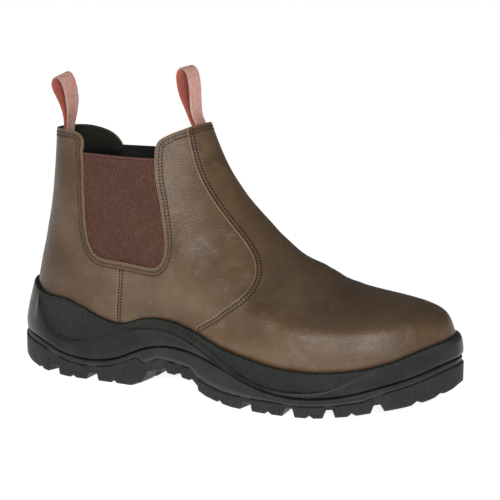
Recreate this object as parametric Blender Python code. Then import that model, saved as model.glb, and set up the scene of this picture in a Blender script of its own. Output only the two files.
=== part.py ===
"""Side gore work boot, right foot.

Tables are in millimetres from the back of the heel and the ground; SHIFT moves
them to the object's frame: +X to the toe, +Z up, -Y the outer side of the foot.
"""
import math

import bmesh
import bpy
import numpy as np

# Driving dimensions, in millimetres unless the name says otherwise
MM = 0.001
SHIFT = np.array([-154.0, 3.08, 0.0])
SOLE_LENGTH = 308.0
WALL = 2.0
GAP = 0.3
VAMP_STEP = 0.9
QUARTER_STEP = 0.6
STEP_FADE = 0.22
LIP = 2.3
GORE_RECESS = 0.9
GORE_THICK = 1.3
INSOLE_THICK = 4.0
TAPE_WIDTH = 16.5
TAPE_RISE = 18.0
TAPE_THICK = 1.5
LUG_PROUD = 1.3
LEDGE = 8.0
NOTCH_DEPTH = 1.8

# Upper: one girth row per line, from the lasted edge up to the collar
STATIONS = (0.12, 0.32, 0.50, 0.70, 0.90)
# columns: back x, back z, front x, front z, sag, half widths at the stations
GIRTHS = (
    (12.0, 26.0, 296.0, 23.0, 5.0, (31.0, 30.0, 36.0, 45.0, 35.0)),
    (9.3, 42.0, 303.0, 38.0, 6.0, (36.0, 34.5, 41.5, 50.5, 38.5)),
    (9.6, 57.0, 301.0, 50.5, 10.0, (34.5, 34.5, 41.0, 50.0, 38.0)),
    (12.5, 73.0, 293.5, 60.6, 14.0, (33.0, 34.5, 39.5, 47.5, 36.0)),
    (16.0, 89.0, 269.0, 67.8, 15.0, (30.5, 35.0, 38.5, 43.0, 29.0)),
    (19.6, 104.0, 232.5, 74.6, 10.0, (29.0, 33.5, 37.0, 37.5, 25.0)),
    (22.6, 119.0, 199.5, 91.5, 6.0, (27.5, 31.5, 35.0, 33.5, 21.0)),
    (24.6, 134.0, 170.5, 116.5, 3.0, (25.5, 29.5, 32.5, 30.5, 19.0)),
    (25.8, 149.0, 150.0, 141.5, 0.0, (23.0, 27.0, 30.0, 28.5, 18.0)),
    (27.3, 167.0, 135.5, 173.0, 0.0, (21.5, 25.0, 28.0, 26.5, 17.0)),
)
TOP = len(GIRTHS) - 1
# columns: x, sideways drift of the foot's middle line
MIDLINE = ((0, 0.0), (45, -0.5), (105, -2.6), (175, -4.1), (215, -3.3), (262, 0.7), (303, 5.0))
# Seams as angles round the foot, one for each girth row
VAMP_SEAM = (1.50, 1.518, 1.537, 1.636, 1.815, 2.158, 2.449, 2.472, 2.497, 2.60)
QUARTER_SEAM = (1.085, 1.087, 1.089, 1.096, 1.14, 1.21, 1.27, 1.31, 1.35, 1.40)

# Opening between the quarters and the line of both tabs, side view
# columns: x, z
GORE_REAR = ((57.6, 148.7), (58.8, 140.5), (59.9, 127.4), (61.1, 114.7), (62.6, 101.7), (65.2, 91.0))
GORE_FOOT = ((69.3, 84.6), (75.5, 81.4), (85.0, 80.5), (98.9, 79.8), (111.0, 78.8), (118.5, 79.0))
GORE_FRONT = ((122.8, 82.2), (124.9, 87.7), (124.8, 97.6), (121.9, 109.6), (118.6, 122.1),
              (114.9, 134.2), (113.1, 147.5))
TAB_REAR = ((-20.0, 162.3), (27.0, 162.4), (42.9, 162.6), (51.6, 161.6), (55.6, 159.8), (57.8, 156.8),
            (58.2, 152.8))
TAB_REAR_INNER = ((-20.0, 162.3), (27.0, 162.4), (36.0, 161.5), (43.0, 159.7), (49.3, 157.3),
                  (54.6, 153.4), (57.2, 149.9))
TAB_FRONT = ((112.9, 152.6), (113.4, 156.0), (115.0, 159.0), (118.2, 161.3), (122.8, 163.7),
             (130.1, 166.8), (136.0, 169.0), (160.0, 172.0))

# Sole outline. columns: x, outer half width, inner half width
OUTLINE = (
    (6, 20, 19), (20, 33, 32), (45, 40.5, 39.5), (75, 40.5, 38.5), (105, 41, 36), (140, 46, 38),
    (175, 54, 46), (205, 58, 51), (235, 55, 51.5), (262, 46, 47.5), (285, 32, 39), (300, 14, 26),
)
TOE_POINT_Y = 6.0
# Heights along the side of the sole. columns: x, z
TREAD_Z = ((0, 12), (7, 7.5), (17, 4.4), (32, 1.7), (49, 0.3), (56, 0), (100, 0), (108, 3.2), (112, 9),
           (121, 13), (133, 12.4), (147, 11), (153, 6), (160, 3.2), (170, 1.1), (180, 0), (234, 0),
           (245, 1.1), (257, 2.6), (270, 5), (285, 7.4), (296, 9.9), (306, 14), (308, 16))
GROOVE_Z = ((0, 27), (9.4, 25.4), (28, 22.6), (46.5, 16.6), (62, 13.8), (77, 14.2), (93, 18.4),
            (108, 25.1), (124, 29.4), (140, 30), (156, 27.6), (172, 23.4), (187, 18.4), (202, 14.3),
            (215, 12.3), (227, 11.8), (240, 12.7), (251, 14.4), (262, 17.1), (272, 20.2),
            (283, 23.5), (292, 26.6), (300, 30), (308, 33))
CREST_Z = ((0, 58), (18, 52), (24, 46), (28, 40), (32, 34), (39, 28.6), (47, 26.2), (59, 26.2),
           (70, 28.1), (86, 36), (98, 42.3), (113, 45.3), (129, 44.8), (145, 41), (157, 36.6),
           (172, 29.3), (188, 21.4), (202, 17), (215, 15.6), (228, 15.7), (240, 17.2), (251, 20.6),
           (262, 26), (272, 31), (290, 38.5), (308, 44))
EDGE_Z = ((0, 60), (10, 57.5), (20, 54.8), (30, 53.7), (38, 53.6), (46.6, 52.3), (62, 47),
          (77, 41.9), (90, 41.2), (100, 44.4), (112, 47), (131, 47), (151, 42.5), (171, 36.2),
          (187, 33), (214, 28.7), (227, 28), (244, 28.5), (261, 30.8), (272, 33.3), (282, 36.7),
          (291, 40.8), (300, 44.2), (308, 46.5))
SEAT_Z = ((0, 19), (20, 14.5), (60, 12.5), (95, 13.5), (112, 17.5), (130, 18.5), (148, 17),
          (165, 13.2), (200, 11.2), (235, 11.2), (265, 13.5), (290, 18), (308, 21))
# Lugs of one side, heel to toe; both ends wrap round to the other side
# columns: name, from x, to x, notch x, groove depth in front of it
LUGS = (
    ("heel end", 0.0, 36.0, 28.5, 4.6),
    ("heel middle", 44.5, 67.0, 56.0, 4.0),
    ("heel breast", 74.5, 110.5, 87.0, 1.0),
    ("arch rib one", 116.0, 124.0, 0.0, 1.5),
    ("arch rib two", 128.0, 135.5, 0.0, 1.5),
    ("arch rib three", 140.0, 147.5, 0.0, 1.5),
    ("ball rear", 153.5, 187.5, 171.0, 4.6),
    ("ball middle", 194.5, 217.0, 206.5, 4.7),
    ("ball front", 222.8, 242.0, 233.0, 4.7),
    ("toe rear", 247.0, 269.0, 257.5, 4.2),
    ("toe end", 274.0, 308.0, 291.0, 0.0),
)
LUG_CORNER = 1.2
NOTCH_HALF = 2.4
LUG_REACH = 15.0
CHANNEL = 5.5

# Pull loops, side view of the middle of the tape. columns: x, z
LOOP_REAR = ((28.95, 149.0), (29.4, 156.0), (30.1, 163.0), (30.5, 169.5), (29.3, 176.5), (27.0, 182.3),
             (24.6, 187.0), (23.6, 191.4), (24.5, 194.8), (27.2, 196.2), (30.4, 193.9), (32.7, 188.8),
             (34.1, 182.0), (34.3, 175.0), (33.3, 168.6), (32.2, 163.8), (31.5, 158.5), (31.1, 153.5),
             (30.8, 149.0))
LOOP_FRONT = ((139.1, 151.3), (136.1, 157.8), (131.4, 164.4), (127.2, 171.2), (123.7, 179.5),
              (121.0, 185.5), (119.3, 191.5), (118.5, 197.0), (118.8, 201.0), (121.0, 203.7),
              (124.2, 202.8), (126.5, 198.3), (127.6, 191.5), (128.0, 183.5), (128.5, 176.5),
              (130.3, 170.9), (133.9, 165.6), (137.9, 158.9), (140.9, 152.3))
# How much narrower each tape is at its foot, and how much its top leans sideways
LOOP_FOOT_REAR = 0.62
LOOP_FOOT_FRONT = 0.78
LOOP_LEAN_REAR = 0.22
LOOP_LEAN_FRONT = 0.07
LOOP_BEND_REAR = 0.030
LOOP_BEND_FRONT = 0.044

# Mesh density
HEEL_COLUMNS = 8
WAIST_COLUMNS = 9
TOE_COLUMNS = 13
SOLE_COLUMNS = 42
SEAM_WIDTH = 0.012
OUTER_LEVELS = (0, 0.5, 1, 1.5, 2, 2.5, 3, 3.5, 4, 4.35, 4.7, 5.05, 5.4, 5.7, 6, 6.5, 7, 7.5, 8, 8.5, 9)
INNER_LEVELS = (9, 8.5, 8, 7, 6, 5, 4, 3, 2, 1, 0)


def spline(knots, values, at, period=None):
    """Cubic through rows of values, natural at its ends or closed over a period."""
    k = np.asarray(knots, float)
    y = np.asarray(values, float)
    y = y.reshape(len(y), -1)
    at = np.atleast_1d(np.asarray(at, float))
    n = len(k)
    if period:
        k = np.append(k, k[0] + period)
        y = np.vstack([y, y[:1]])
        at = k[0] + (at - k[0]) % period
    h = np.diff(k)
    slope = np.diff(y, axis=0) / h[:, None]
    matrix = np.eye(n)
    right = np.zeros((n, y.shape[1]))
    for i in range(0 if period else 1, n if period else n - 1):
        matrix[i, i] = 2 * (h[i - 1] + h[i])
        matrix[i, (i - 1) % n] = h[i - 1]
        matrix[i, (i + 1) % n] = h[i]
        right[i] = 6 * (slope[i] - slope[i - 1])
    bend = np.linalg.solve(matrix, right)
    if period:
        bend = np.vstack([bend, bend[:1]])
    i = np.clip(np.searchsorted(k, at, side="right") - 1, 0, len(k) - 2)
    a = ((k[i + 1] - at) / h[i])[:, None]
    b = 1 - a
    cubic = (a ** 3 - a) * bend[i] + (b ** 3 - b) * bend[i + 1]
    return a * y[i] + b * y[i + 1] + cubic * (h[i] ** 2)[:, None] / 6


def height(table, x):
    """A table of x and z read as a smooth line."""
    rows = np.array(table, float)
    return spline(rows[:, 0], rows[:, 1], x)[:, 0]


def midline(x):
    rows = np.array(MIDLINE, float)
    return spline(rows[:, 0], rows[:, 1], np.clip(x, 0, rows[-1, 0]))[:, 0]


def girth(row, angle):
    """One closed row round the foot: angle 0 at the heel, pi at the toe."""
    back_x, back_z, front_x, front_z, sag, widths = row
    along = (1 - np.cos(angle)) / 2
    x = back_x + (front_x - back_x) * along
    z = back_z + (front_z - back_z) * along - sag * np.sin(np.pi * along ** 1.3)
    knots = np.arccos(1 - 2 * np.array(STATIONS))
    knots = np.concatenate([[0], knots, [np.pi], (2 * np.pi - knots)[::-1]])
    widths = np.array(widths)
    half = np.concatenate([[0], -widths, [0], widths[::-1]])
    y = spline(knots, half, angle, period=2 * np.pi)[:, 0]
    drift = midline(x) * (1 - np.clip((z - 40) / 110, 0, 1))
    return np.stack([x, y + drift, z], -1)


def last_surface(angle, level):
    """Outside of the upper without its overlaps: level 0 lasted edge, TOP collar."""
    angle, level = np.broadcast_arrays(np.asarray(angle, float), np.asarray(level, float))
    shape = angle.shape
    angle = angle.ravel()
    level = level.ravel()
    rows = np.stack([girth(row, angle) for row in GIRTHS])
    count = len(GIRTHS)
    matrix = np.eye(count)
    right = np.zeros((count, angle.size * 3))
    flat = rows.reshape(count, -1)
    for i in range(1, count - 1):
        matrix[i, i - 1:i + 2] = 1, 4, 1
        right[i] = 6 * (flat[i + 1] - 2 * flat[i] + flat[i - 1])
    bend = np.linalg.solve(matrix, right).reshape(rows.shape)
    i = np.clip(level.astype(int), 0, count - 2)
    n = np.arange(angle.size)
    b = (level - i)[:, None]
    a = 1 - b
    point = a * rows[i, n] + b * rows[i + 1, n]
    point += ((a ** 3 - a) * bend[i, n] + (b ** 3 - b) * bend[i + 1, n]) / 6
    return point.reshape(shape + (3,))


def last_normal(angle, level):
    step = 0.01
    along = last_surface(angle + step, level) - last_surface(angle - step, level)
    up = last_surface(angle, level + step) - last_surface(angle, level - step)
    normal = np.cross(along, up)
    return normal / np.linalg.norm(normal, axis=-1, keepdims=True)


def seam_angle(table, level):
    return spline(np.arange(len(table)), table, np.atleast_1d(level).ravel())[:, 0].reshape(np.shape(level))


def edge_level(angle):
    """Level of the upper at which the sole's top edge meets it."""
    x = SOLE_LENGTH * (1 - np.cos(angle)) / 2
    target = height(EDGE_Z, x)
    levels = np.linspace(0.0, 3.5, 71)
    z = last_surface(angle[None, :], levels[:, None])[..., 2]
    return np.array([np.interp(t, column, levels) for t, column in zip(target, z.T)])


def overlap(angle, level):
    """How far the outside stands proud where the vamp and the quarter lie on top."""
    side = np.minimum(angle, 2 * np.pi - angle)
    clear = np.clip((level - edge_level(angle.ravel()).reshape(angle.shape) - 0.1) / 0.25, 0, 1)
    past_vamp = side - seam_angle(VAMP_SEAM, level)
    past_quarter = side - seam_angle(QUARTER_SEAM, level)
    proud = np.where(past_vamp >= -1e-6, VAMP_STEP * np.exp(-np.abs(past_vamp) / STEP_FADE), 0)
    under = (past_quarter >= -1e-6) & (past_vamp < -1e-6)
    proud = np.where(under, QUARTER_STEP * np.exp(-np.abs(past_quarter) / STEP_FADE), proud)
    return proud * clear


def sole_point(angle, inset=0.0):
    """Plan of the sole at an angle round it, moved inwards by the inset."""
    rows = np.array(OUTLINE, float)
    knots = np.arccos(1 - 2 * rows[:, 0] / SOLE_LENGTH)
    knots = np.concatenate([[0], knots, [np.pi], (2 * np.pi - knots)[::-1]])
    y = np.concatenate([[0], -rows[:, 1], [TOE_POINT_Y], rows[::-1, 2]])

    def plan(a):
        x = SOLE_LENGTH * (1 - np.cos(a)) / 2
        return np.stack([x, spline(knots, y, a, period=2 * np.pi)[:, 0]], -1)

    tangent = plan(angle + 0.01) - plan(angle - 0.01)
    tangent /= np.linalg.norm(tangent, axis=1, keepdims=True)
    inward = np.stack([-tangent[:, 1], tangent[:, 0]], -1)
    return plan(angle) + inward * np.reshape(inset, (-1, 1))


def both_sides(side_angles):
    """Angles from heel to toe on the outer side, then back on the inner side."""
    side = np.asarray(side_angles, float)
    return np.concatenate([side, (2 * np.pi - side[1:-1])[::-1]])


def spread(count):
    u = np.linspace(0, 1, count + 1)
    return np.pi * (u + 0.08 * np.sin(2 * np.pi * u))


def ring(plan, z):
    return np.column_stack([plan, np.broadcast_to(z, len(plan))])


def bridge(start, count, flip):
    """Close a ring that is mirrored about its long axis with strips across it."""
    half = count // 2
    faces = []
    for k in range(half):
        left = [start + k, start + k + 1]
        right = [start + (count - k - 1) % count, start + (count - k) % count]
        face = list(dict.fromkeys(left + right))
        faces.append(face[::-1] if flip else face)
    return faces


def loft(rings, closed_rings=True, caps="bridge"):
    """Faces between rings of equal length; caps close both ends, loop joins them."""
    count = len(rings[0])
    points = np.vstack(rings)
    faces = []
    total = len(rings)
    for j in range(total if caps == "loop" else total - 1):
        for i in range(count if closed_rings else count - 1):
            a = j * count + i
            b = j * count + (i + 1) % count
            c = ((j + 1) % total) * count + (i + 1) % count
            d = ((j + 1) % total) * count + i
            faces.append([a, b, c, d])
    if caps == "bridge":
        faces += bridge(0, count, True)
        faces += bridge((total - 1) * count, count, False)
    if caps == "flat":
        faces.append(list(range(count))[::-1])
        faces.append(list(range((total - 1) * count, total * count)))
    return points, faces


def make_solid(name, points, faces, collection, material):
    mesh = bpy.data.meshes.new(name)
    mesh.from_pydata(((points + SHIFT) * MM).tolist(), [], faces)
    mesh.validate()
    work = bmesh.new()
    work.from_mesh(mesh)
    bmesh.ops.recalc_face_normals(work, faces=work.faces)
    for face in work.faces:
        face.smooth = True
    work.to_mesh(mesh)
    work.free()
    solid = bpy.data.objects.new(name, mesh)
    collection.objects.link(solid)
    if material:
        mesh.materials.append(material)
    return solid


def make_material(name, colour, roughness):
    material = bpy.data.materials.new(name)
    material.use_nodes = True
    shader = material.node_tree.nodes["Principled BSDF"]
    shader.inputs["Base Color"].default_value = (*colour, 1.0)
    shader.inputs["Roughness"].default_value = roughness
    return material


def cut(solid, cutter):
    boolean = solid.modifiers.new("cut", "BOOLEAN")
    boolean.operation = "DIFFERENCE"
    boolean.solver = "EXACT"
    boolean.object = cutter


def side_columns(level):
    """Column angles of the outer side at a level, with a narrow pair on each seam."""
    vamp = float(seam_angle(VAMP_SEAM, np.array([level]))[0])
    quarter = float(seam_angle(QUARTER_SEAM, np.array([level]))[0])
    heel = np.linspace(0, quarter - SEAM_WIDTH, HEEL_COLUMNS)
    waist = np.linspace(quarter, vamp - SEAM_WIDTH, WAIST_COLUMNS)
    toe = np.linspace(vamp, np.pi, TOE_COLUMNS)
    return np.concatenate([heel, waist, toe])


def build_upper(collection, material, cutters):
    rings = []
    for level in OUTER_LEVELS:
        angle = both_sides(side_columns(level))
        levels = np.full(len(angle), level)
        normal = last_normal(angle, levels)
        rings.append(last_surface(angle, levels) + normal * overlap(angle, levels)[:, None])
    for level in INNER_LEVELS:
        angle = both_sides(side_columns(level))
        levels = np.full(len(angle), level)
        rings.append(last_surface(angle, levels) - WALL * last_normal(angle, levels))
    points, faces = loft(rings, caps="loop")
    upper = make_solid("upper", points, faces, collection, material)
    cut(upper, build_collar_cutter(cutters))
    return upper


def rounded(table, count):
    rows = np.array(table, float)
    run = np.concatenate([[0], np.cumsum(np.linalg.norm(np.diff(rows, axis=0), axis=1) ** 0.5)])
    return spline(run, rows, np.linspace(0, run[-1], count))


def build_collar_cutter(collection):
    """Prism through both sides: the gore openings and everything above the tabs."""
    rings = []
    for tab, places in ((TAB_REAR, (-75.0, -6.0)), (TAB_REAR_INNER, (0.0, 75.0))):
        line = np.vstack([
            rounded(tab, 12), rounded(GORE_REAR, 7), rounded(GORE_FOOT, 8),
            rounded(GORE_FRONT, 8), rounded(TAB_FRONT, 11), [[160.0, 215.0], [-20.0, 215.0]],
        ])
        for y in places:
            rings.append(np.column_stack([line[:, 0], np.full(len(line), y), line[:, 1]]))
    points, faces = loft(rings, caps="flat")
    cutter = make_solid("collar_cutter", points, faces, collection, None)
    cutter.hide_render = True
    cutter.display_type = "WIRE"
    return cutter


def on_side(x, z, side):
    """Angle and level on the upper for points of the side view, by Newton steps."""
    angle = np.arccos(np.clip(1 - 2 * (x - 22) / 150, -0.9, 0.95))
    level = (z - 26) / 15.0
    for _ in range(12):
        here = last_surface(angle, level)
        by_angle = (last_surface(angle + 0.01, level) - last_surface(angle - 0.01, level)) / 0.02
        by_level = (last_surface(angle, level + 0.01) - last_surface(angle, level - 0.01)) / 0.02
        miss_x = x - here[..., 0]
        miss_z = z - here[..., 2]
        det = by_angle[..., 0] * by_level[..., 2] - by_level[..., 0] * by_angle[..., 2]
        angle = angle + (miss_x * by_level[..., 2] - by_level[..., 0] * miss_z) / det
        level = level + (by_angle[..., 0] * miss_z - by_angle[..., 2] * miss_x) / det
        angle = np.clip(angle, 0.2, 3.0)
        level = np.clip(level, 0.5, TOP)
    return (angle if side < 0 else 2 * np.pi - angle), level


def patch(rear, foot, front, top, rows, columns):
    """Grid of side view points between four border lines."""
    u = np.linspace(0, 1, columns)[None, :, None]
    v = np.linspace(0, 1, rows)[:, None, None]
    across = (1 - v) * foot[None, :] + v * top[None, :]
    upwards = (1 - u) * rear[:, None] + u * front[:, None]
    corners = (1 - u) * (1 - v) * foot[0] + u * (1 - v) * foot[-1] + (1 - u) * v * top[0] + u * v * top[-1]
    return across + upwards - corners


def resample(points, count):
    run = np.concatenate([[0], np.cumsum(np.linalg.norm(np.diff(points, axis=0), axis=1))])
    at = np.linspace(0, run[-1], count)
    return np.stack([np.interp(at, run, points[:, i]) for i in range(2)], -1)


def build_gore(name, side, collection, material):
    rows, columns = 9, 8
    line = np.vstack([rounded(GORE_REAR, 24), rounded(GORE_FOOT, 24), rounded(GORE_FRONT, 24)])
    tangent = np.gradient(line, axis=0)
    tangent /= np.linalg.norm(tangent, axis=1, keepdims=True)
    line = line + np.stack([-tangent[:, 1], tangent[:, 0]], -1) * 0.45
    turns = ((68.3, 85.8), (122.6, 82.0))
    low = [int(np.linalg.norm(line - point, axis=1).argmin()) for point in turns]
    rear = resample(line[:low[0] + 1], rows)[::-1]
    foot = resample(line[low[0]:low[1] + 1], columns)
    front = resample(line[low[1]:], rows)
    top = np.linspace(rear[-1], front[-1], columns)
    grid = patch(rear, foot, front, top, rows, columns)
    angle, level = on_side(grid[..., 0], grid[..., 1], side)
    base = last_surface(angle, level)
    normal = last_normal(angle, level)
    outer = (base - GORE_RECESS * normal).reshape(-1, 3)
    inner = (base - (GORE_RECESS + GORE_THICK) * normal).reshape(-1, 3)
    size = rows * columns
    faces = []
    for j in range(rows - 1):
        for i in range(columns - 1):
            a = j * columns + i
            quad = [a, a + 1, a + columns + 1, a + columns]
            faces.append(quad)
            faces.append([size + q for q in quad[::-1]])
    border = list(range(columns)) + [j * columns + columns - 1 for j in range(1, rows)]
    border += list(range(size - 2, size - columns - 1, -1)) + [j * columns for j in range(rows - 2, 0, -1)]
    for a, b in zip(border, border[1:] + border[:1]):
        faces.append([b, a, size + a, size + b])
    return make_solid(name, np.vstack([outer, inner]), faces, collection, material)


def lug_columns():
    """Column x, whether it is on a lug, and how far its foot is above the tread line."""
    rows = []
    groove = 0.0
    for name, start, end, notch, after in LUGS:
        if start > 0:
            rows += [(start - 0.6, 0, groove), (start + LUG_CORNER, 1, 0.0)]
        else:
            rows += [(x, 1, 0.0) for x in (0.0, 1.6, 6.0, 12.5, 20.0)]
        if notch:
            rows += [(notch - NOTCH_HALF, 1, 0.0), (notch, 1, NOTCH_DEPTH)]
            rows += [(notch + NOTCH_HALF, 1, 0.0)]
        if end < SOLE_LENGTH:
            rows += [(end - LUG_CORNER, 1, 0.0), (end + 0.6, 0, after)]
        else:
            rows += [(299.0, 1, 0.0), (301.0, 1, 1.2)]
            rows += [(x, 1, 0.0) for x in (303.0, 306.6, 308.0)]
        groove = after
    return np.array(rows)


def build_outsole(collection, material):
    table = lug_columns()
    side = np.arccos(np.clip(1 - 2 * table[:, 0] / SOLE_LENGTH, -1, 1))
    angle = both_sides(side)
    mirror = np.concatenate([np.arange(len(side)), np.arange(1, len(side) - 1)[::-1]])
    x, on_lug, raised = table[mirror].T
    rows = np.array(TREAD_Z, float)
    tread = np.interp(x, rows[:, 0], rows[:, 1])
    foot = tread + raised
    groove = height(GROOVE_Z, x)
    ledge = tread + np.minimum(LEDGE, 0.62 * (groove - tread))
    seat = height(SEAT_Z, x)
    hollow = tread + np.where(tread > 9, 1.5, 4.6)
    proud = LUG_PROUD * (1 - on_lug)
    middle = sole_point(angle, LUG_REACH + CHANNEL)
    rings = [
        ring(middle, foot),
        ring(sole_point(angle, LUG_REACH + CHANNEL - 1.2), hollow),
        ring(sole_point(angle, LUG_REACH + 1.2), hollow),
        ring(sole_point(angle, LUG_REACH), foot),
        ring(sole_point(angle, 1.0 + proud), foot),
        ring(sole_point(angle, proud), foot + 1.0),
        ring(sole_point(angle, proud), np.maximum(ledge - 0.4, foot + 1.3)),
        ring(sole_point(angle, LUG_PROUD), np.maximum(ledge + 0.4, foot + 1.7)),
        ring(sole_point(angle, 0.9), groove - 0.9),
        ring(sole_point(angle, 2.2), groove - 0.2),
        ring(sole_point(angle, 3.4), groove - 0.2),
        ring(sole_point(angle, 4.6), seat - 0.2),
    ]
    points, faces = loft(rings)
    return make_solid("outsole", points, faces, collection, material)


def build_midsole(collection, material):
    angle = both_sides(spread(SOLE_COLUMNS))
    x = SOLE_LENGTH * (1 - np.cos(angle)) / 2
    groove = height(GROOVE_Z, x)
    edge = height(EDGE_Z, x)
    crest = np.minimum(height(CREST_Z, x), edge - 2.2)
    seat = height(SEAT_Z, x)
    level = edge_level(angle)
    normal = last_normal(angle, level)
    mouth = last_surface(angle, level)
    lip = mouth + normal * (GAP + LIP)
    outline = sole_point(angle)
    share = (crest - groove) / (edge - groove)
    lean = np.clip((share - 0.72) / 0.2, 0, 1)
    lean = lean * lean * (3 - 2 * lean)

    def wall(z, straight):
        """Between outline and lip: the given share on the sides, leaning at both ends."""
        part = np.clip((z - groove) / (edge - groove), 0, 1) ** 1.5
        part = (1 - lean) * straight + lean * part
        return ring(outline * (1 - part[:, None]) + lip[:, :2] * part[:, None], z)

    band = crest - groove
    rings = [
        ring(sole_point(angle, 5.3), seat + 0.2),
        ring(sole_point(angle, 4.1), groove + 0.2),
        ring(sole_point(angle, 2.2), groove + 0.2),
        ring(sole_point(angle, 0.8), groove + 0.7),
        wall(groove + 0.15 * band + 0.9, 0.06),
        wall(groove + 0.55 * band, 0.10),
        wall(groove + 0.86 * band, 0.22),
        wall(crest, 0.42),
        wall(crest + 0.7, 0.72),
        wall((crest + edge) / 2 + 0.2, 0.86),
    ]
    top = lip.copy()
    top[:, 2] = edge - 0.9
    rings.append(top)
    top = mouth + normal * (GAP + 0.55 * LIP)
    top[:, 2] = edge
    rings.append(top)
    inner = mouth + normal * (GAP + 0.15)
    inner[:, 2] = edge - 0.5
    rings.append(inner)
    for part in (0.75, 0.5, 0.25, 0.0):
        at = level * part
        rings.append(last_surface(angle, at) + last_normal(angle, at) * (GAP + 0.25))
    rings[-1][:, 2] -= GAP
    points, faces = loft(rings)
    return make_solid("midsole", points, faces, collection, material)


def build_insole(collection, material):
    rings = []
    for level, inset, lift in ((0.0, 0.9, 0.1), (0.2, 1.3, INSOLE_THICK - 0.6), (0.2, 2.4, INSOLE_THICK)):
        angle = both_sides(side_columns(level))
        at = np.full(len(angle), level)
        edge = last_surface(angle, at) - last_normal(angle, at) * (WALL + inset)
        edge[:, 2] = last_surface(angle, at * 0)[:, 2] + lift
        rings.append(edge)
    points, faces = loft(rings)
    return make_solid("insole", points, faces, collection, material)


def build_loop(name, table, bend, base_z, foot, lean, collection, material):
    """A folded tape, narrower and curved across at its foot, with a leaning top."""
    path = rounded(table, 22)
    tangent = np.gradient(path, axis=0)
    tangent /= np.linalg.norm(tangent, axis=1, keepdims=True)
    normal = np.stack([-tangent[:, 1], tangent[:, 0]], -1)
    across = np.array([-0.5, -0.18, 0.18, 0.5]) * TAPE_WIDTH
    above = path[:, 1] - base_z
    curl = bend * (1 - np.clip(above / 14.0, 0, 1)) ** 2
    width = foot + (1 - foot) * np.clip(above / TAPE_RISE, 0, 1)
    tilt = lean * np.clip((above - TAPE_RISE) / 16.0, 0, 1)
    rings = []
    for centre, out, amount, wide, slope in zip(path, normal, curl, width, tilt):
        row = []
        for side, offsets in ((-0.5, across), (0.5, across[::-1])):
            for y in offsets * wide:
                point = centre + out * side * TAPE_THICK
                row.append((point[0] + amount * y * y, y, point[1] + slope * y))
        rings.append(np.array(row))
    points, faces = loft(rings, caps="flat")
    return make_solid(name, points, faces, collection, material)


def main():
    for item in list(bpy.data.objects):
        bpy.data.objects.remove(item, do_unlink=True)
    parts = bpy.data.collections.new("side_gore_work_boot")
    cutters = bpy.data.collections.new("cutters")
    cutters.hide_render = True
    bpy.context.scene.collection.children.link(parts)
    bpy.context.scene.collection.children.link(cutters)
    leather = make_material("leather", (0.105, 0.070, 0.045), 0.5)
    elastic = make_material("elastic", (0.115, 0.050, 0.036), 0.85)
    rubber = make_material("rubber", (0.018, 0.020, 0.019), 0.6)
    foam = make_material("midsole", (0.024, 0.027, 0.026), 0.5)
    webbing = make_material("webbing", (0.62, 0.30, 0.23), 0.9)
    footbed = make_material("footbed", (0.05, 0.05, 0.045), 0.9)

    build_outsole(parts, rubber)
    build_midsole(parts, foam)
    build_insole(parts, footbed)
    build_upper(parts, leather, cutters)
    build_gore("gore_outer_side", -1, parts, elastic)
    build_gore("gore_inner_side", 1, parts, elastic)
    build_loop("pull_loop_rear", LOOP_REAR, LOOP_BEND_REAR, 163.0, LOOP_FOOT_REAR,
               LOOP_LEAN_REAR, parts, webbing)
    build_loop("pull_loop_front", LOOP_FRONT, -LOOP_BEND_FRONT, 161.0, LOOP_FOOT_FRONT,
               LOOP_LEAN_FRONT, parts, webbing)


main()
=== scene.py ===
import math

import bpy
import numpy as np
from mathutils import Matrix, Vector


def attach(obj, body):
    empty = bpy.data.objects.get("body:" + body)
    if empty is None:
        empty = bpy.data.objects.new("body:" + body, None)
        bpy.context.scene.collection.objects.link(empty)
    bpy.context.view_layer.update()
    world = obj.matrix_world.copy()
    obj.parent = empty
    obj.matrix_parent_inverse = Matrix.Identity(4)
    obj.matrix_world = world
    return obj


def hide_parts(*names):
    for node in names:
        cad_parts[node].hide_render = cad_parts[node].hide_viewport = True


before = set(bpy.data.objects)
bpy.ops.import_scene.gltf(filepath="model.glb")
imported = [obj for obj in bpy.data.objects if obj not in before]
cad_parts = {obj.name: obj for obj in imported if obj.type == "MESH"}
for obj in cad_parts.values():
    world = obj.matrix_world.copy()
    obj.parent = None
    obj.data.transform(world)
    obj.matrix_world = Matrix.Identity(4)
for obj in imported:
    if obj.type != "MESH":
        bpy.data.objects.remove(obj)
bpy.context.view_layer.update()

shift = np.array([-154.0, 3.08, 0.0])  # from the sketch to the object's own frame
turn = 2 * np.pi
nudge = 0.01  # half the step between two points of a slope, in radians or levels


# Lines and surfaces.

# Each vector over its own length.
def unit(vectors):
    return vectors / np.linalg.norm(vectors, axis=-1, keepdims=True)


# Square to the left of each direction of a flat line.
def leftOf(along):
    return np.stack([-along[:, 1], along[:, 0]], -1)


# Length walked from the first point of a line to each of its points.
def lengthAlong(points):
    return np.concatenate([[0], np.cumsum(np.linalg.norm(np.diff(points, axis=0), axis=1))])


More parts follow.
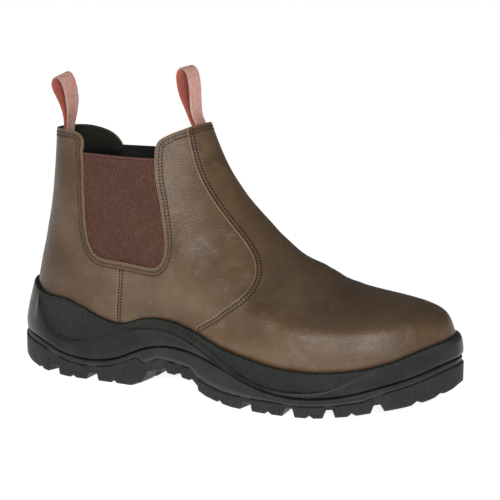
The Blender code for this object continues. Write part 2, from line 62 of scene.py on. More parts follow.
# A cubic that passes through rows of values: each span is the straight blend of its
# two ends plus their bends times (a cubed less a) and (b cubed less b).
def splineThrough(knots, values, at, period=None):
    k = np.asarray(knots, float)
    y = np.asarray(values, float)
    y = y.reshape(len(y), -1)
    at = np.atleast_1d(np.asarray(at, float))
    n = len(k)
    if period:
        k = np.append(k, k[0] + period)
        y = np.vstack([y, y[:1]])
        at = k[0] + (at - k[0]) % period
    h = np.diff(k)
    slope = np.diff(y, axis=0) / h[:, None]
    matrix = np.eye(n)
    right = np.zeros((n, y.shape[1]))
    for i in range(0 if period else 1, n if period else n - 1):
        matrix[i, i] = 2 * (h[i - 1] + h[i])
        matrix[i, (i - 1) % n] = h[i - 1]
        matrix[i, (i + 1) % n] = h[i]
        right[i] = 6 * (slope[i] - slope[i - 1])
    bend = np.linalg.solve(matrix, right)
    if period:
        bend = np.vstack([bend, bend[:1]])
    i = np.clip(np.searchsorted(k, at, side="right") - 1, 0, len(k) - 2)
    a = ((k[i + 1] - at) / h[i])[:, None]
    b = 1 - a
    cubic = (a ** 3 - a) * bend[i] + (b ** 3 - b) * bend[i + 1]
    return a * y[i] + b * y[i + 1] + cubic * (h[i] ** 2)[:, None] / 6


# Height of a table of x and z read as a smooth line.
def lineHeight(table, x):
    rows = np.array(table, float)
    return splineThrough(rows[:, 0], rows[:, 1], np.ravel(x))[:, 0].reshape(np.shape(x))


# Smooth line through points of a table, with its steps set by the root of their gaps.
def rounded(table, count):
    rows = np.array(table, float)
    gaps = np.linalg.norm(np.diff(rows, axis=0), axis=1) ** 0.5
    run = np.concatenate([[0], np.cumsum(gaps)])
    return splineThrough(run, rows, np.linspace(0, run[-1], count))


# Points at equal steps along a line.
def evenly(points, count):
    run = lengthAlong(points)
    at = np.linspace(0, run[-1], count)
    return np.stack([np.interp(at, run, column) for column in points.T], -1)


# Smooth step: 3t squared less 2t cubed between the two ends.
def ease(value, low, high):
    t = np.clip((value - low) / (high - low), 0, 1)
    return t * t * (3 - 2 * t)


last = {
    "stations": (0.12, 0.32, 0.50, 0.70, 0.90),
    # back x, back z, front x, front z, sag, half widths at the stations
    "girths": (
        (12.0, 26.0, 296.0, 23.0, 5.0, (31.0, 30.0, 36.0, 45.0, 35.0)),
        (9.3, 42.0, 303.0, 38.0, 6.0, (36.0, 34.5, 41.5, 50.5, 38.5)),
        (9.6, 57.0, 301.0, 50.5, 10.0, (34.5, 34.5, 41.0, 50.0, 38.0)),
        (12.5, 73.0, 293.5, 60.6, 14.0, (33.0, 34.5, 39.5, 47.5, 36.0)),
        (16.0, 89.0, 269.0, 67.8, 15.0, (30.5, 35.0, 38.5, 43.0, 29.0)),
        (19.6, 104.0, 232.5, 74.6, 10.0, (29.0, 33.5, 37.0, 37.5, 25.0)),
        (22.6, 119.0, 199.5, 91.5, 6.0, (27.5, 31.5, 35.0, 33.5, 21.0)),
        (24.6, 134.0, 170.5, 116.5, 3.0, (25.5, 29.5, 32.5, 30.5, 19.0)),
        (25.8, 149.0, 150.0, 141.5, 0.0, (23.0, 27.0, 30.0, 28.5, 18.0)),
        (27.3, 167.0, 135.5, 173.0, 0.0, (21.5, 25.0, 28.0, 26.5, 17.0)),
    ),
    "midline": ((0, 0.0), (45, -0.5), (105, -2.6), (175, -4.1), (215, -3.3),
                (262, 0.7), (303, 5.0)),
    # seams as angles round the foot, one for each girth
    "vampSeam": (1.50, 1.518, 1.537, 1.636, 1.815, 2.158, 2.449, 2.472, 2.497, 2.60),
    "quarterSeam": (1.085, 1.087, 1.089, 1.096, 1.14, 1.21, 1.27, 1.31, 1.35, 1.40),
}


# One closed row round the foot: x and z run from back to front with half the cosine of
# the angle, z sags by a sine between them, and y is a spline through the half widths plus
# the drift of the midline, which fades with height.
def girthRow(row, angle):
    backX, backZ, frontX, frontZ, sag, widths = row
    along = (1 - np.cos(angle)) / 2
    x = backX + (frontX - backX) * along
    z = backZ + (frontZ - backZ) * along - sag * np.sin(np.pi * along ** 1.3)
    knots = np.arccos(1 - 2 * np.array(last["stations"]))
    knots = np.concatenate([[0], knots, [np.pi], (turn - knots)[::-1]])
    widths = np.array(widths)
    half = np.concatenate([[0], -widths, [0], widths[::-1]])
    y = splineThrough(knots, half, angle, period=turn)[:, 0]
    middle = np.array(last["midline"])
    drift = splineThrough(middle[:, 0], middle[:, 1], np.clip(x, 0, middle[-1, 0]))[:, 0]
    return np.stack([x, y + drift * (1 - np.clip((z - 40) / 110, 0, 1)), z], -1)


# Outside of the upper: angle runs round the foot from the heel, level climbs from the
# lasted edge to the collar, and each point is a cubic through its ten girth rows.
def lastSurface(angle, level):
    angle, level = np.broadcast_arrays(np.asarray(angle, float), np.asarray(level, float))
    shape = angle.shape
    angle = angle.ravel()
    level = level.ravel()
    rows = np.stack([girthRow(row, angle) for row in last["girths"]])
    count = len(rows)
    matrix = np.eye(count)
    flat = rows.reshape(count, -1)
    right = np.zeros_like(flat)
    for i in range(1, count - 1):
        matrix[i, i - 1:i + 2] = 1, 4, 1
        right[i] = 6 * (flat[i + 1] - 2 * flat[i] + flat[i - 1])
    bend = np.linalg.solve(matrix, right).reshape(rows.shape)
    i = np.clip(level.astype(int), 0, count - 2)
    n = np.arange(angle.size)
    b = (level - i)[:, None]
    a = 1 - b
    point = a * rows[i, n] + b * rows[i + 1, n]
    point += ((a ** 3 - a) * bend[i, n] + (b ** 3 - b) * bend[i + 1, n]) / 6
    return point.reshape(shape + (3,))


# The two directions of the surface, as differences over a short step.
def lastSlopes(angle, level):
    byAngle = lastSurface(angle + nudge, level) - lastSurface(angle - nudge, level)
    byLevel = lastSurface(angle, level + nudge) - lastSurface(angle, level - nudge)
    return byAngle / (2 * nudge), byLevel / (2 * nudge)


# Outward normal: the cross product of the two directions.
def lastNormal(angle, level):
    return unit(np.cross(*lastSlopes(angle, level)))


# Angle from the heel on either side: the smaller of the angle and the rest of the turn.
def oneSide(angle):
    angle = np.mod(angle, turn)
    return np.minimum(angle, turn - angle)


# Angle of a seam at a level: a spline through its ten angles.
def seamAngle(name, level):
    table = last[name]
    at = splineThrough(np.arange(len(table)), table, np.ravel(level))
    return at[:, 0].reshape(np.shape(level))


# Walk over the last by a short step: least squares on the two surface directions.
def slideOver(angle, level, move):
    target = lastSurface(angle, level) + move
    for _ in range(3):
        byAngle, byLevel = lastSlopes(angle, level)
        miss = target - lastSurface(angle, level)
        aa = (byAngle * byAngle).sum(-1)
        bb = (byLevel * byLevel).sum(-1)
        ab = (byAngle * byLevel).sum(-1)
        ra = (miss * byAngle).sum(-1)
        rb = (miss * byLevel).sum(-1)
        det = aa * bb - ab * ab
        angle = angle + (ra * bb - rb * ab) / det
        level = level + (rb * aa - ra * ab) / det
    return angle, level


# Angle and level of points of the side view, by Newton steps.
def findOnSide(x, z, angle=None, level=None):
    if angle is None:
        angle = np.arccos(np.clip(1 - 2 * (x - 22) / 150, -0.9, 0.95))
        level = (z - 26) / 15.0
    for _ in range(10):
        here = lastSurface(angle, level)
        byAngle, byLevel = lastSlopes(angle, level)
        missX = x - here[..., 0]
        missZ = z - here[..., 2]
        det = byAngle[..., 0] * byLevel[..., 2] - byLevel[..., 0] * byAngle[..., 2]
        angle = angle + (missX * byLevel[..., 2] - byLevel[..., 0] * missZ) / det
        level = level + (byAngle[..., 0] * missZ - byAngle[..., 2] * missX) / det
        angle = np.clip(angle, 0.2, 3.0)
        level = np.clip(level, 0.5, 9.0)
    return angle, level


sole = {
    "length": 308.0,
    "toeY": 6.0,
    # x, outer half width, inner half width
    "outline": (
        (6, 20, 19), (20, 33, 32), (45, 40.5, 39.5), (75, 40.5, 38.5), (105, 41, 36), (140, 46, 38),
        (175, 54, 46), (205, 58, 51), (235, 55, 51.5), (262, 46, 47.5), (285, 32, 39),
        (300, 14, 26),
    ),
    # x, z along the side
    "tread": ((0, 12), (7, 7.5), (17, 4.4), (32, 1.7), (49, 0.3), (56, 0), (100, 0), (108, 3.2),
              (112, 9), (121, 13), (133, 12.4), (147, 11), (153, 6), (160, 3.2), (170, 1.1),
              (180, 0), (234, 0),
              (245, 1.1), (257, 2.6), (270, 5), (285, 7.4), (296, 9.9), (306, 14), (308, 16)),
    "groove": ((0, 27), (9.4, 25.4), (28, 22.6), (46.5, 16.6), (62, 13.8), (77, 14.2), (93, 18.4),
               (108, 25.1), (124, 29.4), (140, 30), (156, 27.6), (172, 23.4), (187, 18.4), (202, 14.3),
               (215, 12.3), (227, 11.8), (240, 12.7), (251, 14.4), (262, 17.1), (272, 20.2),
               (283, 23.5), (292, 26.6), (300, 30), (308, 33)),
    "crest": ((0, 58), (18, 52), (24, 46), (28, 40), (32, 34), (39, 28.6), (47, 26.2), (59, 26.2),
              (70, 28.1), (86, 36), (98, 42.3), (113, 45.3), (129, 44.8), (145, 41), (157, 36.6),
              (172, 29.3), (188, 21.4), (202, 17), (215, 15.6), (228, 15.7), (240, 17.2), (251, 20.6),
              (262, 26), (272, 31), (290, 38.5), (308, 44)),
    "edge": ((0, 60), (10, 57.5), (20, 54.8), (30, 53.7), (38, 53.6), (46.6, 52.3), (62, 47),
             (77, 41.9), (90, 41.2), (100, 44.4), (112, 47), (131, 47), (151, 42.5), (171, 36.2),
             (187, 33), (214, 28.7), (227, 28), (244, 28.5), (261, 30.8), (272, 33.3), (282, 36.7),
             (291, 40.8), (300, 44.2), (308, 46.5)),
    "seat": ((0, 19), (20, 14.5), (60, 12.5), (95, 13.5), (112, 17.5), (130, 18.5), (148, 17),
             (165, 13.2), (200, 11.2), (235, 11.2), (265, 13.5), (290, 18), (308, 21)),
}


# Plan of the sole at an angle round it, moved inwards square to the outline.
def solePoint(angle, inset=0.0):
    rows = np.array(sole["outline"], float)
    knots = np.arccos(1 - 2 * rows[:, 0] / sole["length"])
    knots = np.concatenate([[0], knots, [np.pi], (turn - knots)[::-1]])
    y = np.concatenate([[0], -rows[:, 1], [sole["toeY"]], rows[::-1, 2]])

    def plan(a):
        x = sole["length"] * (1 - np.cos(a)) / 2
        return np.stack([x, splineThrough(knots, y, a, period=turn)[:, 0]], -1)

    inward = leftOf(unit(plan(angle + nudge) - plan(angle - nudge)))
    return plan(angle) + inward * np.reshape(inset, (-1, 1))


# Level where the sole's top edge meets the upper, read off a table of heights.
def cupLevelTable(count=361):
    side = np.linspace(0, np.pi, count)
    target = lineHeight(sole["edge"], sole["length"] * (1 - np.cos(side)) / 2)
    levels = np.linspace(0.0, 3.5, 141)
    z = lastSurface(side[None, :], levels[:, None])[..., 2]
    return side, np.array([np.interp(t, column, levels) for t, column in zip(target, z.T)])


cupSide, cupRow = cupLevelTable()


# Level of the sole's top edge at an angle, read between the rows of that table.
def cupLevel(angle):
    return np.interp(oneSide(angle), cupSide, cupRow)


levelRow = np.linspace(0, 9, 181)


# Millimetres walked for each radian round the foot, along a seam.
def seamPace(name):
    byAngle, _ = lastSlopes(seamAngle(name, levelRow), levelRow)
    return np.linalg.norm(byAngle, axis=-1)


vampPace = seamPace("vampSeam")
quarterPace = seamPace("quarterSeam")
print("stage: last and sole lines ready")


# Meshes.

# From the sketch's millimetres to the object's own frame in metres.
def place(points):
    return (np.asarray(points, float) + shift) * 0.001


# Four sided faces between neighbouring rows and columns of a grid.
def gridFaces(rows, columns, wrap=False):
    j = np.arange(rows - 1)[:, None]
    i = np.arange(columns if wrap else columns - 1)[None, :]
    a = j * columns + i
    b = j * columns + (i + 1) % columns
    return np.stack([a, b, b + columns, a + columns], -1).reshape(-1, 4)


# Strips across a ring that is mirrored about its long axis.
def bridgeFaces(start, count):
    k = np.arange(1, count // 2 - 1)
    strips = np.stack([start + k, start + k + 1, start + count - k - 1, start + count - k], -1)
    half = count // 2
    ends = [[start, start + 1, start + count - 1],
            [start + half - 1, start + half, start + half + 1]]
    return strips, np.array(ends)


# Signed volume of a closed form; a negative one has its faces inside out.
def facesOutwards(points, groups):
    volume = 0.0
    for faces in groups:
        for k in range(1, faces.shape[1] - 1):
            a, b, c = points[faces[:, 0]], points[faces[:, k]], points[faces[:, k + 1]]
            volume += (a * np.cross(b, c)).sum()
    return [faces[:, ::-1] for faces in groups] if volume < 0 else groups


# Leaves out points that no face uses, and renumbers the rest.
def dropUnused(points, groups, fields):
    used = np.zeros(len(points), bool)
    for faces in groups:
        used[faces.ravel()] = True
    renumber = np.cumsum(used) - 1
    return points[used], [renumber[f] for f in groups], {k: v[used] for k, v in fields.items()}


# One mesh from points and groups of faces, with its fields, map and material, riding the root body;
# the model's part named by node is hidden.
def makePiece(name, points, groups, material, node=None, fields=None, uv=None):
    groups = [groups] if isinstance(groups, np.ndarray) else groups
    fields = dict(fields or {})
    if uv is not None:
        fields["uv"] = uv
    points, groups, fields = dropUnused(np.asarray(points, float), groups, fields)
    uv = fields.pop("uv", None)
    corners = np.concatenate([faces.ravel() for faces in groups])
    sizes = np.concatenate([np.full(len(faces), faces.shape[1]) for faces in groups])
    starts = np.concatenate([[0], np.cumsum(sizes)[:-1]])
    mesh = bpy.data.meshes.new(name)
    mesh.vertices.add(len(points))
    mesh.vertices.foreach_set("co", place(points).astype(np.float32).ravel())
    mesh.loops.add(len(corners))
    mesh.loops.foreach_set("vertex_index", corners.astype(np.int32))
    mesh.polygons.add(len(sizes))
    mesh.polygons.foreach_set("loop_start", starts.astype(np.int32))
    mesh.polygons.foreach_set("use_smooth", np.ones(len(sizes), bool))
    mesh.update(calc_edges=True)
    if uv is not None:
        layer = mesh.uv_layers.new(name="UVMap")
        layer.data.foreach_set("uv", uv[corners].astype(np.float32).ravel())
    for key, values in fields.items():
        data = mesh.attributes.new(key, "FLOAT", "POINT").data
        data.foreach_set("value", np.asarray(values, np.float32).ravel())
    mesh.validate()
    mesh.materials.append(material)
    piece = bpy.data.objects.new(name, mesh)
    bpy.context.scene.collection.objects.link(piece)
    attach(piece, "root")
    if node:
        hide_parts(node)


# Shader helpers.

# A new node: sockets are linked, plain values are set.
def addNode(tree, kind, links=None, **settings):
    made = tree.nodes.new(kind)
    for key, value in settings.items():
        setattr(made, key, value)
    for key, value in (links or {}).items():
        if hasattr(value, "is_linked"):
            tree.links.new(value, made.inputs[key])
        else:
            made.inputs[key].default_value = value
    return made


def calc(tree, operation, *values, clamp=False):
    return addNode(tree, "ShaderNodeMath", dict(enumerate(values)), operation=operation,
                   use_clamp=clamp).outputs[0]


def times(tree, first, second):
    return calc(tree, "MULTIPLY", first, second)


def plus(tree, first, second):
    return calc(tree, "ADD", first, second)


# Smooth step of a value between low and high, put out from one value to another.
def ramp(tree, value, low, high, fromValue=0.0, toValue=1.0):
    made = addNode(tree, "ShaderNodeMapRange",
                   {0: value, 1: low, 2: high, 3: fromValue, 4: toValue},
                   interpolation_type="SMOOTHSTEP")
    return made.outputs[0]


def mixColours(tree, factor, first, second, blend="MIX"):
    made = addNode(tree, "ShaderNodeMix", {0: factor, 6: first, 7: second}, data_type="RGBA",
                   blend_type=blend)
    return made.outputs[2]


def noise(tree, vector, size, detail=3.0, rough=0.5, distort=0.0):
    made = addNode(tree, "ShaderNodeTexNoise",
                   {"Vector": vector, "Scale": 1000.0 / size, "Detail": detail,
                    "Roughness": rough, "Distortion": distort})
    return made.outputs["Fac"]


def attribute(tree, name):
    return addNode(tree, "ShaderNodeAttribute", attribute_name=name).outputs["Fac"]


def objectPlace(tree):
    return addNode(tree, "ShaderNodeTexCoord").outputs["Object"]


def startMaterial(name, roughness=0.5):
    material = bpy.data.materials.new(name)
    material.use_nodes = True
    tree = material.node_tree
    shader = tree.nodes["Principled BSDF"]
    shader.inputs["Roughness"].default_value = roughness
    return material, tree, shader


# Puts a colour, and the bump of a height, on the shader.
def colourAndBump(tree, shader, colour, height, strength, distance):
    tree.links.new(colour, shader.inputs["Base Color"])
    bump = addNode(tree, "ShaderNodeBump",
                   {"Height": height, "Strength": strength, "Distance": distance})
    tree.links.new(bump.outputs[0], shader.inputs["Normal"])


def startGroup(name, inputs, outputs):
    tree = bpy.data.node_groups.new(name, "ShaderNodeTree")
    for key, kind, value in inputs:
        made = tree.interface.new_socket(name=key, in_out="INPUT", socket_type=kind)
        if value is not None:
            made.default_value = value
    for key, kind in outputs:
        tree.interface.new_socket(name=key, in_out="OUTPUT", socket_type=kind)
    given = tree.nodes.new("NodeGroupInput").outputs
    return tree, given, tree.nodes.new("NodeGroupOutput").inputs


def useGroup(tree, group, **values):
    made = tree.nodes.new("ShaderNodeGroup")
    made.node_tree = group
    for key, value in values.items():
        if hasattr(value, "is_linked"):
            tree.links.new(value, made.inputs[key])
        else:
            made.inputs[key].default_value = value
    return made.outputs


number, direction = "NodeSocketFloat", "NodeSocketVector"


# Leather grain: rounded cells of the hide, broken by finer noise, and a slow tone.
def hideGrainGroup():
    tree, given, out = startGroup(
        "hideGrain", [("Place", direction, None), ("Size", number, 1.0)],
        [("Height", number), ("Tone", number), ("Rub", number)])
    scale = calc(tree, "DIVIDE", 1000.0, given["Size"])
    warp = noise(tree, given["Place"], 3.0, 2.0)
    cells = addNode(tree, "ShaderNodeTexVoronoi",
                    {"Vector": given["Place"], "Scale": scale, "Smoothness": 0.6},
                    feature="SMOOTH_F1").outputs["Distance"]
    fine = noise(tree, given["Place"], 0.45, 3.0, 0.6)
    pebble = times(tree, ramp(tree, cells, 0.08, 0.62, 1.0, 0.0), 0.65)
    height = plus(tree, pebble, times(tree, fine, 0.35))
    tree.links.new(plus(tree, height, times(tree, warp, 0.25)), out["Height"])
    slow = noise(tree, given["Place"], 34.0, 4.0, 0.55, 0.3)
    tree.links.new(ramp(tree, slow, 0.33, 0.68), out["Tone"])
    rub = noise(tree, given["Place"], 9.0, 5.0, 0.65, 0.4)
    tree.links.new(ramp(tree, rub, 0.48, 0.75), out["Rub"])
    return tree


# Moulded stipple: small raised dots, unevenly spaced.
def stippleGroup():
    tree, given, out = startGroup(
        "mouldStipple", [("Place", direction, None), ("Size", number, 1.0)],
        [("Height", number), ("Dots", number)])
    scale = calc(tree, "DIVIDE", 1000.0, given["Size"])
    cells = addNode(tree, "ShaderNodeTexVoronoi",
                    {"Vector": given["Place"], "Scale": scale, "Randomness": 0.85},
                    feature="F1").outputs["Distance"]
    dots = ramp(tree, cells, 0.12, 0.52, 1.0, 0.0)
    tree.links.new(dots, out["Dots"])
    fine = noise(tree, given["Place"], 0.5, 2.0)
    tree.links.new(plus(tree, dots, times(tree, fine, 0.3)), out["Height"])
    return tree


# Woven threads on a map in metres: the height is a sine across times a sine along, each
# to a power that flattens its top, and each next column is set half a pitch on. The
# fleck is one random value for each thread.
def weaveGroup():
    tree, given, out = startGroup(
        "threadWeave", [("Map", direction, None), ("Warp", number, 1.0), ("Weft", number, 1.0)],
        [("Height", number), ("Over", number), ("Fleck", number)])
    parts = addNode(tree, "ShaderNodeSeparateXYZ", {0: given["Map"]}).outputs
    u = calc(tree, "DIVIDE", parts[0], given["Warp"])
    v = calc(tree, "DIVIDE", parts[1], given["Weft"])
    half = times(tree, calc(tree, "FLOOR", u), 0.5)
    across = calc(tree, "ABSOLUTE", calc(tree, "SINE", times(tree, u, math.pi)))
    stagger = times(tree, plus(tree, v, half), math.pi)
    lengthwise = calc(tree, "ABSOLUTE", calc(tree, "SINE", stagger))
    height = times(tree, calc(tree, "POWER", across, 0.6), calc(tree, "POWER", lengthwise, 0.7))
    tree.links.new(height, out["Height"])
    tree.links.new(ramp(tree, height, 0.25, 0.75), out["Over"])
    cell = addNode(tree, "ShaderNodeCombineXYZ",
                   {0: calc(tree, "FLOOR", u), 1: calc(tree, "FLOOR", plus(tree, v, half))})
    dice = addNode(tree, "ShaderNodeTexWhiteNoise", {"Vector": cell.outputs[0]},
                   noise_dimensions="2D").outputs["Value"]
    tree.links.new(dice, out["Fleck"])
    return tree


# Cut edge and wear: a ragged line within a width of the edge, and patches of wear that
# fade out over the reach.
def edgeWearGroup():
    tree, given, out = startGroup(
        "edgeWear", [("Place", direction, None), ("Distance", number, 5.0), ("Width", number, 0.4),
                     ("Reach", number, 3.0)],
        [("Line", number), ("Wear", number)])
    ragged = noise(tree, given["Place"], 1.4, 3.0)
    width = times(tree, given["Width"], plus(tree, 0.7, times(tree, ragged, 0.6)))
    line = calc(tree, "SUBTRACT", 1.0, calc(tree, "DIVIDE", given["Distance"], width), clamp=True)
    tree.links.new(ramp(tree, line, 0.0, 0.5), out["Line"])
    reached = calc(tree, "DIVIDE", given["Distance"], given["Reach"])
    near = calc(tree, "SUBTRACT", 1.0, reached, clamp=True)
    patchy = ramp(tree, noise(tree, given["Place"], 5.0, 4.0, 0.6), 0.42, 0.7)
    tree.links.new(times(tree, near, patchy), out["Wear"])
    return tree


# Dust: thin pale specks and a haze from two noises.
def dustGroup():
    tree, given, out = startGroup(
        "fineDust", [("Place", direction, None), ("Amount", number, 0.2)], [("Dust", number)])
    haze = ramp(tree, noise(tree, given["Place"], 22.0, 4.0, 0.6), 0.45, 0.75)
    speck = ramp(tree, noise(tree, given["Place"], 0.9, 2.0), 0.64, 0.74)
    both = plus(tree, times(tree, haze, 0.55), times(tree, speck, 0.6))
    tree.links.new(times(tree, both, given["Amount"]), out["Dust"])
    return tree


hideGrain = hideGrainGroup()
mouldStipple = stippleGroup()
threadWeave = weaveGroup()
edgeWear = edgeWearGroup()
fineDust = dustGroup()


# Upper: leather.
leather = {
    "rows": 104, "heelColumns": 60, "waistColumns": 62, "toeColumns": 108,
    "nearSeam": (-1.3, -0.7, -0.35, -0.12, 0.0, 0.07, 0.2, 0.45, 0.8, 1.3),
    "vampStep": 0.9, "quarterStep": 0.6, "stepFade": 0.22, "roundEdge": 0.22,
    "lit": (0.122, 0.071, 0.034, 1), "shade": (0.082, 0.046, 0.021, 1),
    # the last tone on the next line is painted shade for the vamp's top and the heel's back
    "cutEdge": (0.33, 0.235, 0.155, 1), "shadeTone": (0.030, 0.018, 0.010, 1),
    "rubbed": (0.20, 0.145, 0.10, 1), "mottle": (0.06, 0.038, 0.024, 1),
    # the first tone on the next line is painted shade in the stitch grooves
    "stitchGrooveShade": (0.045, 0.028, 0.018, 1), "grainSize": 1.3,
    # shares of painted shade on the vamp's top and on the heel's back
    "vampTopShade": 0.36, "heelBackShade": 0.42,
    "bump": (0.45, 0.00022), "stitchBump": (0.55, 0.0003),  # strength, depth in metres
}
collar = {
    # side view of both tabs and the opening between the quarters
    "tabRear": ((-20.0, 162.3), (27.0, 162.4), (42.9, 162.6), (51.6, 161.6), (55.6, 159.8),
                (57.8, 156.8), (58.2, 152.8)),
    "tabRearInner": ((-20.0, 162.3), (27.0, 162.4), (36.0, 161.5), (43.0, 159.7), (49.3, 157.3),
                     (54.6, 153.4), (57.2, 149.9)),
    "goreRear": ((57.6, 148.7), (58.8, 140.5), (59.9, 127.4), (61.1, 114.7), (62.6, 101.7),
                 (65.2, 91.0)),
    "goreFoot": ((69.3, 84.6), (75.5, 81.4), (85.0, 80.5), (98.9, 79.8), (111.0, 78.8),
                 (118.5, 79.0)),
    "goreFront": ((122.8, 82.2), (124.9, 87.7), (124.8, 97.6), (121.9, 109.6), (118.6, 122.1),
                  (114.9, 134.2), (113.1, 147.5)),
    "tabFront": ((112.9, 152.6), (113.4, 156.0), (115.0, 159.0), (118.2, 161.3), (122.8, 163.7),
                 (130.1, 166.8), (136.0, 169.0), (160.0, 172.0)),
    # x and z of the line that joins the tabs over the opening
    "bridge": ((53, 163.9), (58, 164.4), (113, 164.4), (118.5, 163.6)),
    "rearTabEnd": 50, "frontTabStart": 122, "tabFoot": 155,
    "zone": (44, 128, 70),  # rear x, front x and lowest z of what may be cut
    "snap": 0.35,  # points nearer to the line than this move onto it
    "wall": 2.0,
}
tabLevels = np.linspace(7.4, 9.0, 161)
farAway = 40.0  # millimetres, for points that aren't near a line
collarLines = {side: np.vstack([rounded(collar[key], 60) for key in
                                (tab, "goreRear", "goreFoot", "goreFront", "tabFront")])
               for side, tab in (("outer", "tabRear"), ("inner", "tabRearInner"))}


# Columns of one side: shares of the quarter seam, the vamp seam and the toe, with
# narrow columns at set millimetres from both seams.
def sheetColumns(heelColumns, waistColumns, toeColumns, nearSeam):
    reach = nearSeam[-1]
    rows = [(t, 0, 0, -reach * t, 0) for t in np.linspace(0, 1, heelColumns, endpoint=False)]
    rows += [(1, 0, 0, mm, 0) for mm in nearSeam]
    rows += [(1 - t, t, 0, reach * (1 - t), -reach * t)
             for t in np.linspace(0, 1, waistColumns, endpoint=False)[1:]]
    rows += [(0, 1, 0, 0, mm) for mm in nearSeam]
    rows += [(0, 1 - t, t, 0, reach * (1 - t)) for t in np.linspace(0, 1, toeColumns)[1:]]
    return np.array(rows, float)


# Angle of each column: its shares of both seams and of the toe, plus its millimetres
# from a seam over the seam's own millimetres for each radian.
def columnAngle(columns, level):
    quarter = seamAngle("quarterSeam", level)
    vamp = seamAngle("vampSeam", level)
    angle = columns[:, 0] * quarter + columns[:, 1] * vamp + columns[:, 2] * np.pi
    angle = angle + columns[:, 3] / np.interp(level, levelRow, quarterPace)
    return angle + columns[:, 4] / np.interp(level, levelRow, vampPace)


# Height at which the sheet of leather is first cut: both tab lines, joined well above
# the opening.
def topHeight(x, line):
    high = line[:, 1] > collar["tabFoot"]
    rear = line[(line[:, 0] <= collar["rearTabEnd"]) & high]
    front = line[(line[:, 0] >= collar["frontTabStart"]) & high]
    return np.interp(x, *np.vstack([rear, collar["bridge"], front]).T)


# Level of that height in each column: the first rise through it, read between two levels.
def topLevel(columns, line):
    levels = tabLevels
    grid = np.broadcast_to(levels[:, None], (len(levels), len(columns)))
    point = lastSurface(columnAngle(columns, grid), grid)
    over = point[..., 2] - topHeight(point[..., 0], line)
    i = np.clip((over < 0).sum(0), 1, len(levels) - 1)
    n = np.arange(len(columns))
    low, high = over[i - 1, n], over[i, n]
    return levels[i - 1] + (levels[1] - levels[0]) * np.clip(-low / (high - low), 0, 1)


# Nearest point of a line to each point, and how far away it is.
def nearestOnLine(points, line):
    start, step = line[:-1], np.diff(line, axis=0)
    size = (step ** 2).sum(1) + 1e-12
    best = np.empty_like(points)
    for part in np.array_split(np.arange(len(points)), max(1, len(points) // 3000)):
        p = points[part][:, None]
        t = np.clip(((p - start) * step).sum(-1) / size, 0, 1)
        foot = start + t[..., None] * step
        k = ((p - foot) ** 2).sum(-1).argmin(1)
        best[part] = foot[np.arange(len(part)), k]
    return best, np.linalg.norm(points - best, axis=1)


# Inside test of the side view: edges crossed by a ray to the right.
def aboveCollar(points, line):
    ring = np.vstack([line, [[160.0, 230.0], [-20.0, 230.0]]])
    x0, z0 = ring.T
    x1, z1 = np.roll(ring, -1, axis=0).T
    x, z = points[:, :1], points[:, 1:]
    crosses = (z0 > z) != (z1 > z)
    at = x0 + (z - z0) * (x1 - x0) / np.where(z1 == z0, 1e-9, z1 - z0)
    return (crosses & (x < at)).sum(1) % 2 == 1


# One side of the sheet with the opening cut out: points at the cut are moved onto its
# line; the last value says which points stay leather.
def cutSide(columns, rows, low, line):
    v = np.linspace(0, 1, rows)[:, None]
    level = low + (topLevel(columns, line) - low) * v
    angle = columnAngle(columns, level)
    flat = lastSurface(angle, level).reshape(-1, 3)[:, [0, 2]]
    rearX, frontX, lowZ = collar["zone"]
    zone = (flat[:, 0] > rearX) & (flat[:, 0] < frontX) & (flat[:, 1] > lowZ)
    nearest = flat.copy()
    gap = np.full(len(flat), 99.0)
    nearest[zone], gap[zone] = nearestOnLine(flat[zone], line)
    within = np.zeros(len(flat), bool)
    within[zone] = aboveCollar(flat[zone], line)
    cut = zone & (within | (gap < collar["snap"]))
    faces = gridFaces(rows, len(columns))
    used = np.zeros(len(flat), bool)
    used[faces[(~cut[faces]).any(1)].ravel()] = True
    moved = cut & used
    a, l = angle.ravel(), level.ravel()
    a[moved], l[moved] = findOnSide(nearest[moved, 0], nearest[moved, 1], a[moved], l[moved])
    return a.reshape(angle.shape), l.reshape(level.shape), ~cut.reshape(angle.shape)


# Both sides joined at heel and toe; faces wholly inside the opening are left out.
def cutSheet(columns, rows, lowLevel):
    low = np.ones(len(columns))
    for _ in range(3):
        low = lowLevel(columnAngle(columns, low))
    angle, level, out = cutSide(columns, rows, low, collarLines["outer"])
    innerAngle, innerLevel, innerOut = cutSide(columns, rows, low, collarLines["inner"])
    angle = np.hstack([angle, turn - innerAngle[:, -2:0:-1]])
    level = np.hstack([level, innerLevel[:, -2:0:-1]])
    out = np.hstack([out, innerOut[:, -2:0:-1]])
    faces = gridFaces(rows, angle.shape[1], wrap=True)
    return angle, level, faces[out.ravel()[faces].any(1)]


# Millimetres past a seam, measured square to it.
def pastSeam(name, angle, level):
    seam = seamAngle(name, levelRow)
    rate = np.gradient(seam, levelRow)
    edge = lastSurface(seam, levelRow)
    length = np.linalg.norm(np.gradient(edge, levelRow, axis=0), axis=1)
    byAngle, byLevel = lastSlopes(seam, levelRow)
    tilt = np.linalg.norm(np.cross(byAngle, byLevel + byAngle * rate[:, None]), axis=1) / length
    return (oneSide(angle) - seamAngle(name, level)) * np.interp(level, levelRow, tilt)


# How far the leather stands proud: a quarter round at the cut edge, fading with the
# exponential of the angle past the seam, and none where the sole's cup begins.
def overlapHeight(angle, level):
    side = oneSide(angle)
    clear = np.clip((level - cupLevel(angle) - 0.1) / 0.25, 0, 1)

    def step(name, pace, height):
        past = side - seamAngle(name, level)
        share = np.clip(past * np.interp(level, levelRow, pace) / leather["roundEdge"], 0, 1)
        fade = np.exp(-np.maximum(past, 0) / leather["stepFade"])
        return height * np.sqrt(1 - (1 - share) ** 2) * fade

    vamp = step("vampSeam", vampPace, leather["vampStep"])
    quarter = step("quarterSeam", quarterPace, leather["quarterStep"])
    return np.where(side > seamAngle("vampSeam", level), vamp, quarter) * clear


